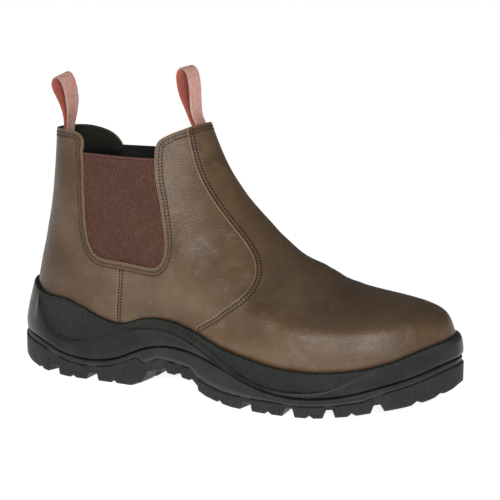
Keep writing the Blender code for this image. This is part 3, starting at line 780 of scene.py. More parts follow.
# Soft creases: troughs and ridges, each a bell across a short line of the side view.
creases = {
    # x, z, x, z of the line, height, width, on the outer side, on the inner side
    "lines": (
        (196, 84, 186, 62, -0.55, 5.0, 1, 1), (206, 80, 200, 58, 0.45, 5.0, 1, 1),
        (216, 74, 210, 52, -0.45, 4.5, 1, 1), (226, 70, 224, 50, 0.35, 5.0, 1, 1),
        (182, 98, 170, 84, -0.4, 5.0, 1, 1), (150, 96, 132, 70, -0.35, 7.0, 1, 0.6),
        (158, 110, 140, 92, 0.35, 6.0, 1, 0.6), (134, 128, 128, 104, -0.3, 5.0, 1, 1),
        (36, 120, 42, 92, -0.3, 6.0, 1, 1), (26, 96, 40, 74, 0.3, 7.0, 1, 1),
        (160, 74, 140, 58, 0.3, 6.0, 1, 1), (250, 60, 240, 44, -0.3, 7.0, 1, 1),
        (150, 126, 152, 94, 0.4, 5.0, 1, 0.5), (163, 124, 167, 92, -0.45, 4.5, 1, 0.5),
        (176, 120, 182, 90, 0.4, 5.0, 1, 0.5), (148, 98, 160, 90, -0.3, 1.8, 1, 0),
        (150, 93, 161, 86, -0.28, 1.7, 1, 0), (220, 84, 214, 70, -0.35, 2.0, 1, 1),
        (229, 86, 217, 79, 2.4, 9.5, 1, 1), (229, 80, 226, 66, -0.35, 2.0, 1, 1),
        (237, 75, 236, 62, 0.3, 2.2, 1, 1),
    ),
}


# Sum of the bells: each falls off with the square of the distance to its own line.
def creaseHeight(point, angle):
    inner = np.mod(angle, turn) > np.pi
    total = np.zeros(point.shape[:-1])
    for x0, z0, x1, z1, height, width, outer, other in creases["lines"]:
        start, step = np.array([x0, z0]), np.array([x1 - x0, z1 - z0], float)
        away = point[..., [0, 2]] - start
        t = np.clip((away @ step) / (step @ step), 0, 1)
        gap = np.linalg.norm(away - t[..., None] * step, axis=-1)
        bell = height * np.exp(-(gap / width) ** 2)
        total += bell * np.where(inner, other, outer)
    return total


# Outside of the leather: the last, plus its overlaps and creases along the normal.
def leatherSurface(angle, level, lift=0.0):
    base = lastSurface(angle, level)
    height = overlapHeight(angle, level) + lift
    fade = np.clip((level - cupLevel(angle) - 0.15) / 0.6, 0, 1)
    height = height + creaseHeight(base, angle) * fade
    return base + lastNormal(angle, level) * height[..., None]


# The collar line of one side as a run of angle and level, from heel to front.
def sideRun(line, spacing):
    rearAngle = np.linspace(0, 0.72, 60)
    frontAngle = np.linspace(2.55, np.pi, 60)

    def onTab(angle):
        point = lastSurface(angle[None, :], tabLevels[:, None])
        over = point[..., 2] - topHeight(point[..., 0], line)
        return np.array([np.interp(0, column, tabLevels) for column in over.T])

    rearLevel, frontLevel = onTab(rearAngle), onTab(frontAngle)
    rearX = lastSurface(rearAngle, rearLevel)[:, 0]
    frontX = lastSurface(frontAngle, frontLevel)[:, 0]
    rear = rearX < 46
    front = frontX > 126
    middle = line[(line[:, 0] > 46.5) & (line[:, 0] < 125.6)]
    angle, level = findOnSide(middle[:, 0], middle[:, 1])
    angle = np.concatenate([rearAngle[rear], angle, frontAngle[front]])
    level = np.concatenate([rearLevel[rear], level, frontLevel[front]])
    run = lengthAlong(lastSurface(angle, level))
    at = np.linspace(0, run[-1], int(run[-1] / spacing))
    return np.interp(at, run, angle), np.interp(at, run, level)


# Closed run: heel, outer side, front, inner side.
def collarRun(spacing):
    angle, level = sideRun(collarLines["outer"], spacing)
    innerAngle, innerLevel = sideRun(collarLines["inner"], spacing)
    return (np.concatenate([angle, turn - innerAngle[-2:0:-1]]),
            np.concatenate([level, innerLevel[-2:0:-1]]))


# The normal on a line, and the direction in the surface that points from the line into
# the leather on its right: the line's own direction crossed with the normal.
def intoLeather(angle, level, closed=True):
    point = lastSurface(angle, level)
    if closed:
        along = np.roll(point, -1, axis=0) - np.roll(point, 1, axis=0)
    else:
        along = np.gradient(point, axis=0)
    normal = lastNormal(angle, level)
    return normal, unit(np.cross(unit(along), normal))


def leatherMaterial():
    material, tree, shader = startMaterial("oiledLeather", 0.5)
    where = objectPlace(tree)
    grain = useGroup(tree, hideGrain, Place=where, Size=leather["grainSize"])
    edge = useGroup(tree, edgeWear, Place=where, Distance=attribute(tree, "edgeMm"),
                    Width=0.55, Reach=3.5)
    colour = mixColours(tree, grain["Tone"], leather["shade"], leather["lit"])
    mottle = noise(tree, where, 2.6, 4.0, 0.6)
    colour = mixColours(tree, ramp(tree, mottle, 0.3, 0.75, 0.0, 0.2), colour, leather["mottle"])
    colour = mixColours(tree, times(tree, grain["Rub"], 0.30), colour, leather["rubbed"])
    # Painted shade: darker leather on the vamp's top and down the heel's back.
    colour = mixColours(tree, attribute(tree, "paintedShade"), colour, leather["shadeTone"])
    # Painted shade in the grooves of the stitch rows; the same groove also sinks them by bump.
    groove = ramp(tree, attribute(tree, "stitchMm"), 0.25, 1.1, 1.0, 0.0)
    colour = mixColours(tree, times(tree, groove, 0.5), colour, leather["stitchGrooveShade"])
    colour = mixColours(tree, times(tree, edge["Wear"], 0.30), colour, leather["rubbed"])
    colour = mixColours(tree, times(tree, edge["Line"], 0.75), colour, leather["cutEdge"])
    tree.links.new(colour, shader.inputs["Base Color"])
    rough = ramp(tree, mottle, 0.3, 0.7, 0.35, 0.45)
    tree.links.new(plus(tree, rough, times(tree, grain["Rub"], 0.08)), shader.inputs["Roughness"])
    shader.inputs["Specular IOR Level"].default_value = 0.45
    strength, distance = leather["bump"]
    fine = addNode(tree, "ShaderNodeBump",
                   {"Height": grain["Height"], "Strength": strength, "Distance": distance})
    strength, distance = leather["stitchBump"]
    deep = addNode(tree, "ShaderNodeBump",
                   {"Height": groove, "Strength": strength, "Distance": distance,
                    "Normal": fine.outputs[0]}, invert=True)
    tree.links.new(deep.outputs[0], shader.inputs["Normal"])
    return material


def rimMaterial():
    material, tree, shader = startMaterial("cutLeatherEdge", 0.7)
    where = objectPlace(tree)
    grain = useGroup(tree, hideGrain, Place=where, Size=0.9)
    across = attribute(tree, "across")
    raw = mixColours(tree, ramp(tree, grain["Height"], 0.3, 0.9), rim["raw"], leather["cutEdge"])
    light = ramp(tree, across, 0.05, 0.45)
    colour = mixColours(tree, times(tree, light, 0.8), leather["lit"], raw)
    colour = mixColours(tree, ramp(tree, across, 0.6, 0.95), colour, rim["inner"])
    colourAndBump(tree, shader, colour, grain["Height"], *rim["bump"])
    return material


def threadMaterial(name, colour):
    material, tree, shader = startMaterial(name, 0.75)
    shader.inputs["Specular IOR Level"].default_value = 0.08
    where = objectPlace(tree)
    twist = noise(tree, where, 0.35, 2.0)
    lighter = tuple(thread["lighter"] * c for c in colour[:3]) + (1,)
    shade = mixColours(tree, ramp(tree, twist, 0.3, 0.7), colour, lighter)
    colourAndBump(tree, shader, shade, twist, *thread["bump"])
    return material


oiledLeather = leatherMaterial()
columns = sheetColumns(leather["heelColumns"], leather["waistColumns"], leather["toeColumns"],
                       leather["nearSeam"])
angle, level, faces = cutSheet(columns, leather["rows"], lambda a: cupLevel(a) - 0.3)
point = leatherSurface(angle, level).reshape(-1, 3)
runAngle, runLevel = collarRun(0.5)
runPoint = lastSurface(runAngle, runLevel)
runRing = np.vstack([runPoint, runPoint[:1]])
vampMm = pastSeam("vampSeam", angle, level).ravel()
quarterMm = pastSeam("quarterSeam", angle, level).ravel()
collarMm = np.full(len(point), farAway)
high = point[:, 2] > 68
collarMm[high] = nearestOnLine(lastSurface(angle, level).reshape(-1, 3)[high], runRing)[1]
stitchRows = {"vamp": (1.6, 3.9), "quarter": (1.5, 3.6), "collar": (2.4, 4.6)}


# Distance to the nearest of a few rows.
def nearRow(distance, rows):
    return np.min([np.abs(distance - row) for row in rows], axis=0)


onVamp = vampMm > 0
quarterBelow = point[:, 2] < 84
edgeMm = np.where(onVamp, vampMm, farAway)
edgeMm = np.where((quarterMm > 0) & ~onVamp & quarterBelow, np.minimum(edgeMm, quarterMm), edgeMm)
edgeMm = np.minimum(edgeMm, np.maximum(collarMm - 0.3, 0))
stitchMm = np.where(onVamp, nearRow(vampMm, stitchRows["vamp"]), 9.0)
stitchMm = np.minimum(stitchMm, nearRow(collarMm, stitchRows["collar"]))
besideQuarter = np.minimum(stitchMm, nearRow(quarterMm, stitchRows["quarter"]))
stitchMm = np.where(quarterBelow, besideQuarter, stitchMm)
# Painted shade: darker leather on the top of the vamp, by the normal's height, and down the heel's
# back.
upward = lastNormal(angle, level).reshape(-1, 3)[:, 2]
paintedShade = leather["vampTopShade"] * ease(upward, 0.1, 1.0) * ease(point[:, 0], 150, 200)
paintedShade = paintedShade + leather["heelBackShade"] * ease(point[:, 0], 75, 12)
makePiece("upperLeather", point, faces, oiledLeather, "upper",
          {"edgeMm": edgeMm, "stitchMm": stitchMm, "paintedShade": paintedShade})
print("stage: leather", len(faces), "faces")


# Rim of the collar: a half round carried along the collar line, from the outside of the
# leather over its edge and down to the lining.
rim = {
    # millimetres into the leather, along the normal, and the share across the rim
    "profile": ((0.75, 0.02, 0.0), (0.45, 0.07, 0.05), (0.18, 0.02, 0.2), (0.02, -0.2, 0.4),
                (-0.04, -0.55, 0.5), (-0.05, -1.0, 0.6), (-0.04, -1.45, 0.7), (0.02, -1.8, 0.85),
                (0.2, -2.05, 0.95), (0.7, -2.12, 1.0)),
    "raw": (0.13, 0.085, 0.052, 1), "inner": (0.035, 0.024, 0.017, 1), "bump": (0.6, 0.0002),
}
cutLeatherEdge = rimMaterial()
normal, into = intoLeather(runAngle, runLevel)
top = leatherSurface(runAngle, runLevel)
profile = np.array(rim["profile"])
inwards, outwards = profile[:, 0, None, None], profile[:, 1, None, None]
rimGrid = top[None] + into[None] * inwards + normal[None] * outwards
rimFaces = gridFaces(len(profile), len(runAngle), wrap=True)
across = np.repeat(profile[:, 2], len(runAngle))
makePiece("upperRim", rimGrid.reshape(-1, 3), rimFaces, cutLeatherEdge, "upper",
          {"across": across})


# Upper: stitches.
thread = {
    "pitch": 2.1, "long": 0.68, "wide": 0.44, "high": 0.34, "lift": 0.10, "lighter": 1.9,
    "dark": (0.020, 0.011, 0.007, 1), "reddish": (0.040, 0.016, 0.009, 1), "bump": (0.7, 0.0001),
}


# One stitch: a six sided rod with shrinking ends that dip by the square of the length.
def stitchShape():
    s = np.array([-0.8, -0.35, 0.35, 0.8])
    size = np.array([0.7, 1.0, 1.0, 0.7])
    a = np.arange(6) / 6 * turn
    x = np.repeat(s, 6)
    y = (size[:, None] * np.cos(a)).ravel()
    z = (size[:, None] * np.sin(a)).ravel() - np.repeat(0.9 * s ** 2, 6)
    points = np.vstack([np.column_stack([x, y, z]), [[-1, 0, -1.0], [1, 0, -1.0]]])
    quads = gridFaces(4, 6, wrap=True)
    i = np.arange(6)
    ends = np.vstack([np.column_stack([np.full(6, 24), (i + 1) % 6, i]),
                      np.column_stack([np.full(6, 25), 18 + i, 18 + (i + 1) % 6])])
    return points, quads, ends


# Centres, directions and normals of one row of stitches: the row is walked at the pitch,
# and a direction is the difference of two points a little ahead and behind.
def stitchRun(angle, level, lift, surface=None):
    point = leatherSurface(angle, level) if surface is None else surface
    run = lengthAlong(point)
    at = np.arange(thread["pitch"] / 2, run[-1], thread["pitch"])
    here, ahead, back = (np.stack([np.interp(at + step, run, column) for column in point.T], -1)
                         for step in (0.0, 0.3, -0.3))
    normal = lastNormal(np.interp(at, run, angle), np.interp(at, run, level))
    return here + normal * lift, unit(ahead - back), normal


# All stitches of some rows: one shape set at each centre, on its direction and normal.
def makeStitches(name, runs, material):
    shape, quads, ends = stitchShape()
    size = np.array([thread["long"], thread["wide"], thread["high"]])
    centre, along, normal = (np.vstack(part) for part in zip(*runs))
    sideways = np.cross(normal, along)
    local = shape * size
    points = (centre[:, None] + along[:, None] * local[None, :, :1]
              + sideways[:, None] * local[None, :, 1:2] + normal[:, None] * local[None, :, 2:])
    first = np.arange(len(centre))[:, None, None] * len(shape)
    groups = [(quads[None] + first).reshape(-1, 4), (ends[None] + first).reshape(-1, 3)]
    points = points.reshape(-1, 3)
    makePiece(name, points, facesOutwards(points, groups), material)
    print("stage:", name, len(centre), "stitches")


# Rows beside a seam: the seam is sampled by level and slid square to itself.
def seamRows(name, offsets, fromLevel, toLevel):
    level = np.linspace(fromLevel, toLevel, 300)
    angle = seamAngle(name, level)
    into = intoLeather(angle, level, closed=False)[1]
    rows = [slideOver(angle, level, into * offset) for offset in offsets]
    return [stitchRun(turn - a if mirrored else a, l, thread["lift"])
            for mirrored in (False, True) for a, l in rows]


darkThread = threadMaterial("darkThread", thread["dark"])
reddishThread = threadMaterial("reddishThread", thread["reddish"])


# Level where a seam comes out of the sole's cup.
def levelAtEdge(name):
    levels = np.linspace(0.2, 4, 300)
    return levels[np.argmax(levels > cupLevel(seamAngle(name, levels)))]


vampTop = float(topLevel(np.array([[0, 1, 0, 0, 0.0]]), collarLines["outer"])[0])
quarterTop = float(findOnSide(np.array([88.0]), np.array([80.4]))[1][0])
for name, seam, rows, end in (("stitchesVamp", "vampSeam", "vamp", vampTop - 0.06),
                              ("stitchesQuarter", "quarterSeam", "quarter", quarterTop - 0.3)):
    runs = seamRows(seam, stitchRows[rows], levelAtEdge(seam) + 0.1, end)
    makeStitches(name, runs, darkThread)
collarRuns = []
for offset in stitchRows["collar"]:
    a, l = slideOver(runAngle, runLevel, into * offset)
    collarRuns.append(stitchRun(np.append(a, a[0]), np.append(l, l[0]), thread["lift"]))
makeStitches("stitchesCollar", collarRuns, reddishThread)


# Upper: lining.
lining = {
    "rows": 70, "heelColumns": 34, "waistColumns": 30, "toeColumns": 50,
    "nearSeam": (-2.0, 2.0), "lowLevel": 0.02, "gap": 0.08, "extraBehindGore": 0.45,
    # the second tone on the next line is painted shade in the hollows between the knit's dots
    "cloth": (0.012, 0.016, 0.014, 1), "clothHollowShade": (0.006, 0.008, 0.007, 1),
    "facing": (0.020, 0.019, 0.014, 1), "bump": (0.7, 0.00025),
}


def liningMaterial():
    material, tree, shader = startMaterial("darkLining", 0.92)
    shader.inputs["Specular IOR Level"].default_value = 0.2
    where = objectPlace(tree)
    knit = useGroup(tree, mouldStipple, Place=where, Size=0.9)
    facing = ramp(tree, attribute(tree, "facing"), 0.35, 0.65)
    # Painted shade: the cloth darker between its knit dots.
    cloth = mixColours(tree, knit["Dots"], lining["clothHollowShade"], lining["cloth"])
    colour = mixColours(tree, facing, cloth, lining["facing"])
    colourAndBump(tree, shader, colour, knit["Height"], *lining["bump"])
    return material


darkLining = liningMaterial()
columns = sheetColumns(lining["heelColumns"], lining["waistColumns"], lining["toeColumns"],
                       lining["nearSeam"])
angle, level, faces = cutSheet(columns, lining["rows"], lambda a: a * 0 + lining["lowLevel"])
base = lastSurface(angle, level).reshape(-1, 3)
gap = np.full(len(base), farAway)
high = base[:, 2] > 60
gap[high] = nearestOnLine(base[high], runRing)[1]
behind = ease(gap, 14.0, 3.0) * ease(base[:, 2], 152.0, 144.0)
depth = collar["wall"] + lining["gap"] + lining["extraBehindGore"] * behind
base = base - lastNormal(angle, level).reshape(-1, 3) * depth[:, None]
facing = ease(base[:, 2], 140.0, 150.0)
makePiece("upperLining", base, faces[:, ::-1], darkLining, "upper",
          {"facing": facing})
print("stage: lining", len(faces), "faces")


# Gores.
gore = {
    "recess": 0.9, "thick": 1.3, "under": 1.7, "rows": 84, "columns": 76, "hem": 1.3,
    "corners": ((67.0, 84.6), (124.0, 80.6)), "swell": 0.25, "stitchLift": 0.05,
    "warp": 0.0013, "weft": 0.0012,  # metres, as the map is
    "bump": (0.9, 0.00035),  # strength, depth in metres
    # the dark tone is painted shade between the threads, and also darkens the random clouds
    "red": (0.136, 0.053, 0.034, 1), "dark": (0.022, 0.014, 0.010, 1),
    "speck": (0.165, 0.090, 0.066, 1), "hemTone": (0.16, 0.075, 0.058, 1),
    "behind": (0.012, 0.015, 0.013, 1),
}


# Grid between four border lines: the two straight blends less the blend of the corners.
def patchGrid(rear, foot, front, top):
    u = np.linspace(0, 1, len(foot))[None, :, None]
    v = np.linspace(0, 1, len(rear))[:, None, None]
    across = (1 - v) * foot[None, :] + v * top[None, :]
    upwards = (1 - u) * rear[:, None] + u * front[:, None]
    corners = (1 - u) * (1 - v) * foot[0] + u * (1 - v) * foot[-1]
    corners = corners + (1 - u) * v * top[0] + u * v * top[-1]
    return across + upwards - corners


def goreMaterial():
    material, tree, shader = startMaterial("elasticWeave", 0.82)
    where = objectPlace(tree)
    chart = addNode(tree, "ShaderNodeUVMap", uv_map="UVMap").outputs[0]
    weave = useGroup(tree, threadWeave, Map=chart, Warp=gore["warp"], Weft=gore["weft"])
    # Painted shade: dark between the threads, where the weave is low.
    colour = mixColours(tree, weave["Over"], gore["dark"], gore["red"])
    flecked = ramp(tree, weave["Fleck"], 0.5, 0.8, 0.0, 0.22)
    colour = mixColours(tree, flecked, colour, gore["speck"])
    cloudy = ramp(tree, noise(tree, where, 16.0, 3.0), 0.3, 0.7, 0.0, 0.12)
    colour = mixColours(tree, cloudy, colour, gore["dark"])
    hem = ramp(tree, attribute(tree, "hemMm"), gore["hem"] + 0.1, gore["hem"] + 0.6, 1.0, 0.0)
    colour = mixColours(tree, times(tree, hem, 0.5), colour, gore["hemTone"])
    colour = mixColours(tree, attribute(tree, "inside"), colour, gore["behind"])
    colourAndBump(tree, shader, colour, weave["Height"], *gore["bump"])
    shader.inputs["Specular IOR Level"].default_value = 0.25
    return material


# Side view of the panel: its outline moved out under the leather, cut at two corners
# into rear, foot and front lines, and filled between them and a straight top.
def goreGrid():
    rows, columns = gore["rows"], gore["columns"]
    line = np.vstack([rounded(collar[key], 60) for key in ("goreRear", "goreFoot", "goreFront")])
    line = line - leftOf(unit(np.gradient(line, axis=0))) * gore["under"]
    first, second = (int(np.linalg.norm(line - spot, axis=1).argmin()) for spot in gore["corners"])
    rear = evenly(line[:first + 1], rows)[::-1]
    foot = evenly(line[first:second + 1], columns)
    front = evenly(line[second:], rows)
    topLine = rear[-1] + (front[-1] - rear[-1]) * np.linspace(0, 1, columns)[:, None]
    return patchGrid(rear, foot, front, topLine)


elasticWeave = goreMaterial()
goreSide = goreGrid()
goreAngle, goreLevel = findOnSide(goreSide[..., 0], goreSide[..., 1])


# One panel: the last moved inwards by the recess for its face and by the thickness more
# for its back, with a wall round the border. Returns the stitches of its hem.
def makeGore(name, node, mirrored):
    angle = turn - goreAngle if mirrored else goreAngle
    base, normal = lastSurface(angle, goreLevel), lastNormal(angle, goreLevel)
    rows, columns = angle.shape
    share = np.linspace(0, 1, rows)[:, None] * np.ones(columns)
    tall = np.linalg.norm(np.diff(base, axis=0), axis=-1).sum(0).mean()
    wide = np.linalg.norm(np.diff(base, axis=1), axis=-1).sum(1).mean()
    hemMm = (1 - share) * tall
    swell = gore["swell"] * ease(hemMm, 2.6, 1.6)  # the folded hem is a little thicker
    outer = base - normal * (gore["recess"] - swell)[..., None]
    inner = base - normal * (gore["recess"] + gore["thick"])
    sideways = np.broadcast_to(np.linspace(0, wide, columns), (rows, columns))
    chart = np.stack([sideways, share * tall], -1)
    size = rows * columns
    front = gridFaces(rows, columns)
    index = np.arange(size).reshape(rows, columns)
    border = np.concatenate([index[0], index[1:, -1], index[-1, -2::-1], index[-2:0:-1, 0]])
    after = np.roll(border, -1)
    wall = np.stack([after, border, border + size, after + size], -1)
    points = np.vstack([outer.reshape(-1, 3), inner.reshape(-1, 3)])
    groups = facesOutwards(points, [np.vstack([front, front[:, ::-1] + size, wall])])
    uv = np.tile(chart.reshape(-1, 2) * 0.001, (2, 1))
    fields = {"hemMm": np.tile(hemMm.ravel(), 2), "inside": np.repeat([0.0, 1.0], size)}
    makePiece(name, points, groups, elasticWeave, node, fields, uv)
    row = int((1 - gore["hem"] / tall) * (rows - 1))
    depth = normal[row] * (gore["recess"] - gore["swell"])
    return stitchRun(angle[row], goreLevel[row], gore["stitchLift"], surface=base[row] - depth)


hemRuns = [makeGore("goreOuter", "gore_outer_side", False),
           makeGore("goreInner", "gore_inner_side", True)]
makeStitches("stitchesHem", hemRuns, darkThread)
print("stage: gores")


# Sole.

# Round the corners of a profile: each key point becomes a short parabola between two
# points a radius away on its neighbours' lines. Extra values ride along with x, y, z.
def roundProfile(keys, radii, longest, steps=4):
    rows = [keys[0]]
    for k in range(1, len(keys) - 1):
        before, after = keys[k - 1] - keys[k], keys[k + 1] - keys[k]
        back = np.linalg.norm(before[:, :3], axis=1, keepdims=True) + 1e-9
        ahead = np.linalg.norm(after[:, :3], axis=1, keepdims=True) + 1e-9
        start = keys[k] + before / back * np.minimum(radii[k], 0.45 * back)
        end = keys[k] + after / ahead * np.minimum(radii[k], 0.45 * ahead)
        for t in np.linspace(0, 1, steps):
            rows.append((1 - t) ** 2 * start + 2 * t * (1 - t) * keys[k] + t * t * end)
    rows.append(keys[-1])
    filled = [rows[0]]
    for a, b in zip(rows, rows[1:]):
        parts = max(1, int(np.ceil(np.linalg.norm((b - a)[:, :3], axis=1).mean() / longest)))
        filled += [a + (b - a) * (i + 1) / parts for i in range(parts)]
    return np.stack(filled)


# One ring: its plan, its height and its stipple mark.
def ringOf(plan, z, mark=0.0):
    z, mark = (np.broadcast_to(value, len(plan)) for value in (z, mark))
    return np.column_stack([plan, z, mark])


# Angles of the whole ring from those of one side, heel and toe once.
def bothSides(side):
    return np.concatenate([side, (turn - side[1:-1])[::-1]])


# A closed form from stacked rings, with strips across the first and the last one.
def makeRings(name, grid, material, node, fields=None):
    rows, count = grid.shape[:2]
    points = grid[..., :3].reshape(-1, 3)
    floor, floorEnds = bridgeFaces(0, count)
    lid, lidEnds = bridgeFaces((rows - 1) * count, count)
    quads = np.vstack([gridFaces(rows, count, wrap=True), floor[:, ::-1], lid])
    groups = facesOutwards(points, [quads, np.vstack([floorEnds[:, ::-1], lidEnds])])
    makePiece(name, points, groups, material, node, fields)


midsole = {
    "columns": 180, "gap": 0.3, "lip": 2.3, "longest": 0.9,
    "black": (0.0052, 0.0070, 0.0054, 1), "grey": (0.0110, 0.0138, 0.0110, 1),
    "rough": 0.34, "dotSize": 1.05, "bump": (0.8, 0.0006),
    # x and z of the bead along the band, its height and width, and how far it tapers
    "bead": ((92, 33.5), (105, 38.0), (120, 39.8), (136, 38.6), (150, 34.4), (163, 28.8),
             (178, 22.3), (192, 17.6)),
    "beadSize": (0.45, 0.7, 12),
    # how far each corner of the profile is rounded, ring by ring
    "radii": (0, 0.3, 0.4, 0.5, 3.0, 4.0, 2.5, 0.8, 0.8, 3.0, 0.5, 0.6, 0.3, 1, 1, 1, 0),
}
rubber = {
    # the first tone on the next line is a painted highlight on the raised stipple dots; the dust tone
    # is dust
    "dots": (0.080, 0.090, 0.081, 1), "dust": (0.16, 0.165, 0.155, 1),
    # painted highlight along the outsole's ledge
    "ledgeHighlight": (0.085, 0.095, 0.087, 1),
}


def mouldMaterial(name, recipe):
    rough = recipe["rough"]
    material, tree, shader = startMaterial(name, rough)
    shader.inputs["Specular IOR Level"].default_value = 0.24
    where = objectPlace(tree)
    dots = useGroup(tree, mouldStipple, Place=where, Size=recipe["dotSize"])
    dust = useGroup(tree, fineDust, Place=where, Amount=0.35)["Dust"]
    mark = attribute(tree, "stipple")  # above 0 stippled, near -0.9 the ledge edge with a painted highlight
    stippled = calc(tree, "MAXIMUM", mark, 0.0)
    smear = noise(tree, where, 13.0, 4.0, 0.6)
    colour = mixColours(tree, ramp(tree, smear, 0.3, 0.75), recipe["black"], recipe["grey"])
    # Painted highlight: lighter colour on the tops of the raised stipple dots.
    lift = times(tree, times(tree, dots["Dots"], stippled), 0.5)
    colour = mixColours(tree, lift, colour, rubber["dots"])
    colour = mixColours(tree, times(tree, dust, 0.2), colour, rubber["dust"])
    # Painted highlight: a lighter line along the outsole's ledge edge.
    rubbed = ramp(tree, mark, -0.6, -0.88, 0.0, 0.5)
    colour = mixColours(tree, rubbed, colour, rubber["ledgeHighlight"])
    spread = ramp(tree, smear, 0.3, 0.7, rough - 0.06, rough + 0.08)
    tree.links.new(plus(tree, spread, times(tree, stippled, 0.16)), shader.inputs["Roughness"])
    skin = noise(tree, where, 0.6, 2.0)
    height = plus(tree, times(tree, dots["Height"], stippled), times(tree, skin, 0.12))
    colourAndBump(tree, shader, colour, height, *recipe["bump"])
    return material


# Cup sole: rings stacked from the seat, over the wave's crest and the lip, down into the
# cup; the wall leans from the outline to the lip by the share of each ring.
def midsoleKeys(angle):
    x = sole["length"] * (1 - np.cos(angle)) / 2
    groove, edge = lineHeight(sole["groove"], x), lineHeight(sole["edge"], x)
    crest = np.minimum(lineHeight(sole["crest"], x), edge - 2.2)
    seat = lineHeight(sole["seat"], x)
    level = cupLevel(angle)
    normal, mouth = lastNormal(angle, level), lastSurface(angle, level)
    lip = mouth + normal * (midsole["gap"] + midsole["lip"])
    outline = solePoint(angle)
    lean = ease((crest - groove) / (edge - groove), 0.72, 0.92)

    def wall(z, straight, mark=0.0):
        part = np.clip((z - groove) / (edge - groove), 0, 1) ** 1.5
        part = ((1 - lean) * straight + lean * part)[:, None]
        return ringOf(outline * (1 - part) + lip[:, :2] * part, z, mark)

    band = crest - groove
    keys = [
        ringOf(solePoint(angle, 5.3), seat + 0.2), ringOf(solePoint(angle, 4.1), groove + 0.2),
        ringOf(solePoint(angle, 2.2), groove + 0.2), ringOf(solePoint(angle, 0.8), groove + 0.7),
        wall(groove + 0.15 * band + 0.9, 0.06), wall(groove + 0.55 * band, 0.10),
        wall(groove + 0.86 * band, 0.22), wall(crest, 0.42, 0.1), wall(crest + 0.7, 0.72, 1.0),
        wall((crest + edge) / 2 + 0.2, 0.86, 1.0), ringOf(lip[:, :2], edge - 0.9, 0.8),
        ringOf((mouth + normal * (midsole["gap"] + 0.55 * midsole["lip"]))[:, :2], edge, 0.1),
        ringOf((mouth + normal * (midsole["gap"] + 0.15))[:, :2], edge - 0.5, 0.0),
    ]
    for part in (0.75, 0.5, 0.25, 0.0):
        at = level * part
        point = lastSurface(angle, at) + lastNormal(angle, at) * (midsole["gap"] + 0.25)
        keys.append(ringOf(point[:, :2], point[:, 2] - (midsole["gap"] if part == 0 else 0)))
    return keys


u = np.linspace(0, 1, midsole["columns"])
angle = bothSides(np.pi * (u + 0.08 * np.sin(turn * u)))
grid = roundProfile(midsoleKeys(angle), midsole["radii"], midsole["longest"])


# Bead on the band: a low bell across a line of the side view, only on the rings below
# the wall's top, which are its outer face.
def raiseBead(grid, angle):
    x, z = grid[..., 0], grid[..., 2]
    table = np.array(midsole["bead"])
    line = np.interp(x, table[:, 0], table[:, 1])
    high, wide, taper = midsole["beadSize"]
    first, second = table[0, 0], table[-1, 0]
    ends = ease(x, first, first + taper) * ease(x, second, second - taper)
    outside = np.zeros(len(grid))
    outside[: np.argmax(grid[..., 2].mean(1))] = 1
    height = high * np.exp(-((z - line) / wide) ** 2) * ends * outside[:, None]
    inward = solePoint(angle, 1.0) - solePoint(angle, 0.0)
    grid[..., :2] -= inward[None] * height[..., None]
    return grid


grid = raiseBead(grid, angle)
makeRings("midsoleCup", grid, mouldMaterial("mouldedMidsole", midsole), "midsole",
          {"stipple": grid[..., 3].ravel()})
print("stage: midsole", grid.shape)

outsole = {
    # from x, to x, notch x, rise of the groove towards the toe from it
    "lugs": ((0.0, 36.0, 28.5, 4.6), (44.5, 67.0, 56.0, 4.0), (74.5, 110.5, 87.0, 1.0),
             (116.0, 124.0, 0.0, 1.5), (128.0, 135.5, 0.0, 1.5), (140.0, 147.5, 0.0, 1.5),
             (153.5, 187.5, 171.0, 4.6), (194.5, 217.0, 206.5, 4.7), (222.8, 242.0, 233.0, 4.7),
             (247.0, 269.0, 257.5, 4.2), (274.0, 308.0, 291.0, 0.0)),
    "corner": 1.2, "notchHalf": 2.4, "notchDepth": 1.8, "reach": 15.0, "channel": 5.5,
    "proud": 1.3, "ledge": 8.0, "underGroove": 4.0, "step": 2.4, "longest": 1.6,
    # how far each corner of the profile is rounded, ring by ring
    "radii": (0, 0.5, 0.5, 0.4, 0.5, 0.6, 0.35, 0.35, 0.5, 0.3, 0.3, 0),
    "black": (0.0095, 0.0115, 0.0102, 1), "grey": (0.020, 0.023, 0.021, 1),
    "rough": 0.46, "dotSize": 1.05, "bump": (0.8, 0.0005),
}


# Columns of the tread: on a lug or not, and how far its foot is above the tread line.
def lugColumns():
    corner, half = outsole["corner"], outsole["notchHalf"]
    rows = []
    groove = 0.0
    for start, end, notch, after in outsole["lugs"]:
        if start > 0:
            rows += [(start - 0.6, 0, groove), (start + corner, 1, 0.0)]
        else:
            rows += [(0.0, 1, 0.0)]
        if notch:
            rows += [(notch - half, 1, 0.0), (notch, 1, outsole["notchDepth"]),
                     (notch + half, 1, 0.0)]
        if end < sole["length"]:
            rows += [(end - corner, 1, 0.0), (end + 0.6, 0, after)]
        else:
            rows += [(299.0, 1, 0.0), (301.0, 1, 1.2), (303.0, 1, 0.0), (308.0, 1, 0.0)]
        groove = after
    table = np.array(rows)
    table = table[np.argsort(table[:, 0], kind="stable")]
    near = [a + (b - a) * t for a, b in zip(table[:-1, 0], table[1:, 0]) if b - a < 3
            for t in (0.25, 0.5, 0.75)]
    ends = sole["length"] * (1 - np.cos(np.linspace(0.06, 0.5, 9))) / 2  # closer round heel and toe
    evenSteps = np.arange(0, sole["length"], outsole["step"])
    x = np.unique(np.concatenate([table[:, 0], near, evenSteps, ends, sole["length"] - ends]))
    x = x[np.append(np.diff(x) > 0.15, True)]
    onLug = ease(np.interp(x, table[:, 0], table[:, 1]), 0.0, 1.0)
    return x, onLug, np.interp(x, table[:, 0], table[:, 2])


